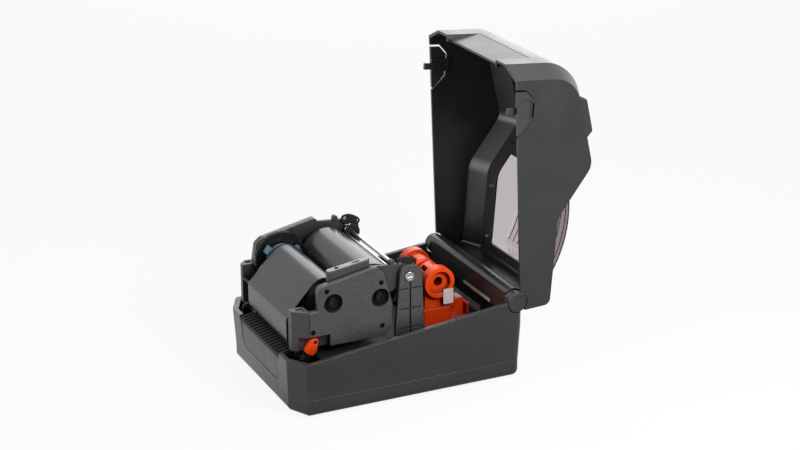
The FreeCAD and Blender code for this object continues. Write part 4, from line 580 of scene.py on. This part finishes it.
def filmLine():
    low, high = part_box("ribbon_film")
    rollLow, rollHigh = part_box("take_up_ribbon")
    barZ = axisThrough(*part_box("guide_bar"))[1]
    platenY = axisThrough(*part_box("platen_rubber"))[0]
    centre = Vector(axisThrough(rollLow, rollHigh))
    radius = (rollHigh.z - rollLow.z) / 2 + filmRun["thickness"] / 2
    kink = Vector((low.y + filmRun["thickness"], barZ + filmRun["barRise"]))
    printZ = low.z + filmRun["thickness"]
    toKink = kink - centre
    angle = math.atan2(toKink.y, toKink.x) - math.acos(radius / toKink.length)
    touch = centre + Vector((math.cos(angle), math.sin(angle))) * radius
    corners = [touch, kink, Vector((kink.x, low.z + filmRun["lowDrop"])),
               Vector((platenY - filmRun["headFront"], printZ)), Vector((platenY + filmRun["headBack"], printZ))]
    # The outer turn lies on the roll before the film leaves it.
    line = []
    for i in range(filmRun["wrapSteps"]):
        back = angle - math.radians(filmRun["wrap"]) * (1 - i / filmRun["wrapSteps"])
        line.append(centre + Vector((math.cos(back), math.sin(back))) * radius)
    line.append(touch)
    for before, corner, after in zip(corners, corners[1:], corners[2:]):
        start = corner + (before - corner).normalized() * filmRun["bend"]
        end = corner + (after - corner).normalized() * filmRun["bend"]
        for i in range(filmRun["bendSteps"] + 1):
            t = i / filmRun["bendSteps"]
            line.append(start * (1 - t) ** 2 + corner * 2 * t * (1 - t) + end * t ** 2)
    line.append(corners[-1])
    fine = [line[0]]
    for a, b in zip(line, line[1:]):
        parts = max(1, round((b - a).length / filmRun["along"]))
        fine += [a.lerp(b, (i + 1) / parts) for i in range(parts)]
    return fine, low.x, high.x


def ribbonFilm():
    line, left, right = filmLine()
    count = filmRun["across"]
    verts, faces = [], []
    for point in line:
        for k in range(count + 1):
            verts.append((left + (right - left) * k / count, point.x, point.y))
    for i in range(len(line) - 1):
        for k in range(count):
            a = i * (count + 1) + k
            faces.append((a, a + 1, a + count + 2, a + count + 1))
    mesh = bpy.data.meshes.new("ribbonFilm")
    mesh.from_pydata(verts, [], faces)
    piece = finishPiece("ribbonFilm", smoothFaces(mesh), "waxFilm", "module", "film", "ribbon_film")
    wall = piece.modifiers.new("thickness", "SOLIDIFY")
    wall.thickness = filmRun["thickness"]
    wall.offset = 0.0


ribbonFilm()

# Torsion springs of the module: round wire wound on the hub, one straight leg at each end
springSet = {"wire": 0.55 * mm, "coil": 7.5 * mm, "pitch": 1.6 * mm, "turns": 2.25, "leg": 7.0 * mm,
             "stepsPerTurn": 32, "start": 0.55 * mm, "roundness": 3}


def solidBoxes(node):
    # Boxes of the separate solids in a node's mesh.
    shape = bmesh.new()
    shape.from_mesh(nodes[node].data)
    bmesh.ops.remove_doubles(shape, verts=shape.verts, dist=weldDistance)
    shape.verts.ensure_lookup_table()
    seen = set()
    boxes = []
    for vert in shape.verts:
        if vert.index in seen:
            continue
        heap, group = [vert], []
        seen.add(vert.index)
        while heap:
            v = heap.pop()
            group.append(v.co.copy())
            for edge in v.link_edges:
                other = edge.other_vert(v)
                if other.index not in seen:
                    seen.add(other.index)
                    heap.append(other)
        boxes.append((Vector(map(min, *group)), Vector(map(max, *group))))
    shape.free()
    return sorted(boxes, key=lambda pair: tuple(pair[0]))


def springPoints(low, high, axisY, axisZ):
    side = 1 if low.x > 0 else -1
    startX = low.x + springSet["start"] if side > 0 else high.x - springSet["start"]
    points = []
    for i in range(round(springSet["turns"] * springSet["stepsPerTurn"]) + 1):
        turn = i / springSet["stepsPerTurn"]
        angle = 2 * math.pi * turn
        points.append(Vector((startX + side * springSet["pitch"] * turn,
                              axisY + springSet["coil"] * math.cos(angle),
                              axisZ + springSet["coil"] * math.sin(angle))))
    points.insert(0, points[0] + Vector((0, 0, -springSet["leg"])))
    points.append(points[-1] + Vector((0, -springSet["leg"], 0)))
    return points


def liftSprings():
    pivot = axisThrough(*solidBoxes("pivot_pins")[-1])
    joined = bmesh.new()
    for low, high in solidBoxes("lift_springs"):
        points = springPoints(low, high, *pivot)
        curve = bpy.data.curves.new("liftSpring", "CURVE")
        curve.dimensions = "3D"
        curve.bevel_depth = springSet["wire"]
        curve.bevel_resolution = springSet["roundness"]
        curve.use_fill_caps = True
        spline = curve.splines.new("POLY")
        spline.points.add(len(points) - 1)
        for spot, point in zip(spline.points, points):
            spot.co = (*point, 1)
        joined.from_mesh(evaluatedMesh(linkedObject("springCurve", curve)))
    bmesh.ops.remove_doubles(joined, verts=joined.verts, dist=weldDistance)
    bmesh.ops.recalc_face_normals(joined, faces=joined.faces)
    mesh = smoothFaces(meshFromShape("liftSprings", joined))
    finishPiece("liftSprings", mesh, "polishedSteel", "module", "bright_steel", "lift_springs")


liftSprings()
print("springs wound")


def meshFromTree(name, points, tree, inputs):
    # Evaluates a node tree on a mesh of places and returns the plain mesh.
    holder = linkedObject(name, points)
    modifier = holder.modifiers.new(name, "NODES")
    modifier.node_group = tree
    for identifier, value in inputs.items():
        modifier[identifier] = value
    mesh = evaluatedMesh(holder)
    bpy.data.node_groups.remove(tree)
    return mesh


# Cross-recess screws: one tree for all of them, a point for each screw. A wide head is only a little taller than
# the others, by no more than tallest, so that the pinion clears its shoulder screw.
screwSet = {"headRadius": 2.7 * mm, "headHeight": 2.0 * mm, "crown": 0.8, "recessLength": 3.4 * mm,
            "recessWidth": 0.75 * mm, "recessDepth": 1.1 * mm, "shankRadius": 1.45 * mm,
            "tallest": 1.1, "headSides": 32, "shankSides": 20, "squareOn": 0.999}


def screwTree(finish):
    tree = bpy.data.node_groups.new("crossRecessScrew", "GeometryNodeTree")
    tree.interface.new_socket("Geometry", in_out="INPUT", socket_type="NodeSocketGeometry")
    sockets = {}
    for key in ("headRadius", "headHeight", "crown", "recessLength", "recessWidth", "recessDepth", "shankRadius",
                "shankLength"):
        sockets[key] = tree.interface.new_socket(key, in_out="INPUT", socket_type="NodeSocketFloat").identifier
    tree.interface.new_socket("Geometry", in_out="OUTPUT", socket_type="NodeSocketGeometry")
    given = addNode(tree, "NodeGroupInput").outputs
    topRadius = addNode(tree, "ShaderNodeMath", {0: given["headRadius"], 1: given["crown"]}, operation="MULTIPLY")
    head = addNode(tree, "GeometryNodeMeshCone", {
        "Vertices": screwSet["headSides"], "Radius Top": topRadius.outputs[0],
        "Radius Bottom": given["headRadius"], "Depth": given["headHeight"]})
    # the cross is two bars, cut out of the head
    cross = addNode(tree, "GeometryNodeMeshBoolean", operation="UNION")
    for alongX, alongY in (("recessLength", "recessWidth"), ("recessWidth", "recessLength")):
        sides = addNode(tree, "ShaderNodeCombineXYZ", {
            0: given[alongX], 1: given[alongY], 2: given["recessDepth"]})
        bar = addNode(tree, "GeometryNodeMeshCube", {"Size": sides.outputs[0]})
        tree.links.new(bar.outputs[0], cross.inputs["Mesh 2"])
    rise = addNode(tree, "ShaderNodeCombineXYZ", {2: given["headHeight"]})
    lifted = addNode(tree, "GeometryNodeTransform", {"Geometry": cross.outputs[0], "Translation": rise.outputs[0]})
    cut = addNode(tree, "GeometryNodeMeshBoolean", {"Mesh 1": head.outputs[0]}, operation="DIFFERENCE")
    tree.links.new(lifted.outputs[0], cut.inputs["Mesh 2"])
    drop = addNode(tree, "ShaderNodeMath", {0: given["shankLength"], 1: -0.5}, operation="MULTIPLY")
    below = addNode(tree, "ShaderNodeCombineXYZ", {2: drop.outputs[0]})
    shank = addNode(tree, "GeometryNodeMeshCylinder", {
        "Vertices": screwSet["shankSides"], "Radius": given["shankRadius"], "Depth": given["shankLength"]})
    shank = addNode(tree, "GeometryNodeTransform", {"Geometry": shank.outputs[0], "Translation": below.outputs[0]})
    screw = addNode(tree, "GeometryNodeJoinGeometry")
    tree.links.new(cut.outputs[0], screw.inputs[0])
    tree.links.new(shank.outputs[0], screw.inputs[0])
    facing = addNode(tree, "GeometryNodeInputNamedAttribute", {"Name": "facing"}, data_type="FLOAT_VECTOR")
    size = addNode(tree, "GeometryNodeInputNamedAttribute", {"Name": "size"}, data_type="FLOAT_VECTOR")
    turn = addNode(tree, "FunctionNodeAlignEulerToVector", {"Vector": facing.outputs["Attribute"]}, axis="Z")
    placed = addNode(tree, "GeometryNodeInstanceOnPoints", {
        "Points": given["Geometry"], "Instance": screw.outputs[0], "Rotation": turn.outputs[0],
        "Scale": size.outputs["Attribute"]})
    real = addNode(tree, "GeometryNodeRealizeInstances", {"Geometry": placed.outputs[0]})
    dressed = addNode(tree, "GeometryNodeSetMaterial", {"Geometry": real.outputs[0], "Material": finishes[finish]})
    addNode(tree, "NodeGroupOutput", {0: dressed.outputs[0]})
    return tree, sockets


def screwGroup(name, node, body, facingOf, finish, length):
    # facingOf says which way a head points, from the low corner of the screw's box
    tree, sockets = screwTree(finish)
    places, facings, sizes = [], [], []
    for low, high in solidBoxes(node):
        facing = facingOf(low)
        reach = sum(abs(f) * (h - l) for f, h, l in zip(facing, high, low)) / 2
        squareOn = max(map(abs, facing)) > screwSet["squareOn"]
        across = sorted(high - low)[1] if squareOn else high.x - low.x
        size = across / 2 / screwSet["headRadius"]
        height = min(size, screwSet["tallest"])
        facings.append(facing)
        sizes.append((size, size, height))
        places.append((low + high) / 2 + Vector(facing) * (reach - screwSet["headHeight"] * height))
    points = bpy.data.meshes.new(name + "Places")
    points.from_pydata(places, [], [])
    for key, rows in (("facing", facings), ("size", sizes)):
        column = points.attributes.new(key, "FLOAT_VECTOR", "POINT")
        column.data.foreach_set("vector", [c for row in rows for c in row])
    sizesGiven = dict(screwSet, shankLength=length)
    mesh = meshFromTree(name + "Places", points, tree, {sockets[key]: sizesGiven[key] for key in sockets})
    finishPiece(name, mesh, finish, body, nodeSlot[node], node)


lidSwing = math.radians(94.4)       # how far the lid stands open
windowFacing = (0.0, -math.sin(lidSwing), -math.cos(lidSwing))
panTop = 35 * mm                    # screws that start below this are the pan's, and their heads point down
screwGroup("plateScrews", "module_screws", "module", lambda low: (1.0, 0.0, 0.0), "blackSteel", 5.5 * mm)
screwGroup("windowScrews", "window_screws", "lid", lambda low: windowFacing, "zincSteel", 4.0 * mm)
screwGroup("caseScrews", "base_screws", "base", lambda low: (0.0, 0.0, -1.0 if low.z < panTop else 1.0),
           "zincSteel", 6.0 * mm)
print("screws placed")

# Blank placards: thin card with rounded corners, two on the bay's rear wall and two on the right holder; in mm
placardSet = {
    "wallStrip": {"low": (-8.0, 121.2, 77.3), "high": (58.0, 121.5, 81.6), "corner": 0.8,
                  "finish": "whiteCard", "body": "base", "slot": "panel_plastic"},
    "rearCard": {"low": (-57.0, 133.65, 44.3), "high": (12.0, 133.95, 53.0), "corner": 1.0,
                 "finish": "whiteCard", "body": "base", "slot": "panel_plastic"},
    "armCard": {"low": (37.0, 72.5, 75.5), "high": (37.35, 85.0, 94.0), "corner": 1.2,
                "finish": "palePaper", "body": "holder_right", "slot": "orange_plastic"},
    "footCard": {"low": (11.0, 95.0, 75.0), "high": (25.0, 102.5, 75.3), "corner": 1.0,
                 "finish": "palePaper", "body": "holder_right", "slot": "orange_plastic"},
}
cornerSteps = 5


def placard(name, spec):
    low, high = Vector(spec["low"]) * mm, Vector(spec["high"]) * mm
    shape = bmesh.new()
    bmesh.ops.create_cube(shape, size=1.0)
    bmesh.ops.scale(shape, vec=high - low, verts=shape.verts)
    bmesh.ops.translate(shape, vec=(low + high) / 2, verts=shape.verts)
    thin = min(range(3), key=lambda i: (high - low)[i])
    half = (high - low)[thin] / 2
    corners = [e for e in shape.edges if abs((e.verts[0].co - e.verts[1].co)[thin]) > half]
    bmesh.ops.bevel(shape, geom=corners, offset=spec["corner"] * mm, segments=cornerSteps, affect="EDGES", profile=0.5)
    bmesh.ops.recalc_face_normals(shape, faces=shape.faces)
    finishPiece(name, meshFromShape(name, shape), spec["finish"], spec["body"], spec["slot"])


for placardName, placardSpec in placardSet.items():
    placard(placardName, placardSpec)
print("placards placed")

# Window ribs: shallow moulded ribs that run round the inside of the bubble, about the axis it is curved on; black,
# because they show as dark lines through the pane
ribSet = {"count": 11, "spacing": 10.0 * mm, "width": 0.8 * mm, "radius": 145.8 * mm, "from": math.radians(-29.0),
          "sweep": math.radians(42.5), "steps": 40}
ribAxis = Vector((0, 76.21, 174.72)) * mm


def ribTree():
    tree = bpy.data.node_groups.new("windowRibs", "GeometryNodeTree")
    tree.interface.new_socket("Geometry", in_out="INPUT", socket_type="NodeSocketGeometry")
    sockets = {}
    for key in ribSet:
        kind = "NodeSocketInt" if key in ("count", "steps") else "NodeSocketFloat"
        sockets[key] = tree.interface.new_socket(key, in_out="INPUT", socket_type=kind).identifier
    tree.interface.new_socket("Geometry", in_out="OUTPUT", socket_type="NodeSocketGeometry")
    given = addNode(tree, "NodeGroupInput").outputs
    arc = addNode(tree, "GeometryNodeCurveArc", {
        "Resolution": given["steps"], "Radius": given["radius"], "Start Angle": given["from"],
        "Sweep Angle": given["sweep"]})
    square = addNode(tree, "GeometryNodeCurvePrimitiveQuadrilateral", {
        "Width": given["width"], "Height": given["width"]})
    rib = addNode(tree, "GeometryNodeCurveToMesh", {
        "Curve": arc.outputs[0], "Profile Curve": square.outputs[0], "Fill Caps": True})
    upright = addNode(tree, "GeometryNodeTransform", {
        "Geometry": rib.outputs[0], "Translation": ribAxis, "Rotation": (math.pi / 2, 0.0, math.pi / 2)})
    step = addNode(tree, "ShaderNodeCombineXYZ", {0: given["spacing"]})
    # the row is centred on the window
    last = addNode(tree, "ShaderNodeMath", {0: given["count"], 1: 1.0}, operation="SUBTRACT")
    half = addNode(tree, "ShaderNodeMath", {0: last.outputs[0], 1: -0.5}, operation="MULTIPLY")
    first = addNode(tree, "ShaderNodeMath", {0: half.outputs[0], 1: given["spacing"]}, operation="MULTIPLY")
    start = addNode(tree, "ShaderNodeCombineXYZ", {0: first.outputs[0]})
    row = addNode(tree, "GeometryNodeMeshLine", {
        "Count": given["count"], "Start Location": start.outputs[0], "Offset": step.outputs[0]})
    placed = addNode(tree, "GeometryNodeInstanceOnPoints", {
        "Points": row.outputs[0], "Instance": upright.outputs[0]})
    real = addNode(tree, "GeometryNodeRealizeInstances", {"Geometry": placed.outputs[0]})
    dressed = addNode(tree, "GeometryNodeSetMaterial", {
        "Geometry": real.outputs[0], "Material": finishes["blackAcetal"]})
    addNode(tree, "NodeGroupOutput", {0: dressed.outputs[0]})
    return tree, {sockets[key]: ribSet[key] for key in ribSet}


ribMesh = meshFromTree("ribPlaces", bpy.data.meshes.new("ribPlaces"), *ribTree())
finishPiece("windowRibs", ribMesh, "blackAcetal", "lid", "window_clear")
print("window ribs moulded")

# Bearing rings behind the two big holes of the right plate, and the hollow ends of the spindles in them
bearingSet = {"faceX": 74.0 * mm, "floor": 0.3 * mm, "lip": 1.4 * mm, "bore": 5.4 * mm, "lipIn": 7.0 * mm,
              "lipOut": 8.0 * mm, "gap": 0.4 * mm, "endX": 77.0 * mm, "endRise": 1.5 * mm, "endIn": 3.2 * mm,
              "endOut": 4.7 * mm, "steps": 48, "takeUpHole": 11.0 * mm, "supplyHole": 10.7 * mm}


def bearing(side, node, body):
    b = bearingSet
    centre = axisThrough(*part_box(node))
    rim = b[side + "Hole"] - b["gap"]
    floorX, lipX, tipX = b["faceX"] + b["floor"], b["faceX"] + b["lip"], b["endX"] + b["endRise"]
    ring = [(b["faceX"], b["bore"]), (floorX, b["bore"]), (floorX, b["lipIn"]), (lipX, b["lipIn"]),
            (lipX, b["lipOut"]), (floorX, b["lipOut"]), (floorX, rim), (b["faceX"], rim)]
    tip = [(b["endX"], b["endIn"]), (tipX, b["endIn"]), (tipX, b["endOut"]), (b["endX"], b["endOut"])]
    for name, outline, rider in ((side + "Bearing", ring, "module"), (side + "SpindleEnd", tip, body)):
        finishPiece(name, spunMesh(name, outline, centre, b["steps"]), "boreAcetal", rider, "black_plastic")


bearing("takeUp", "take_up_ribbon", "take_up")
bearing("supply", "supply_ribbon", "supply")
print("bearings set")
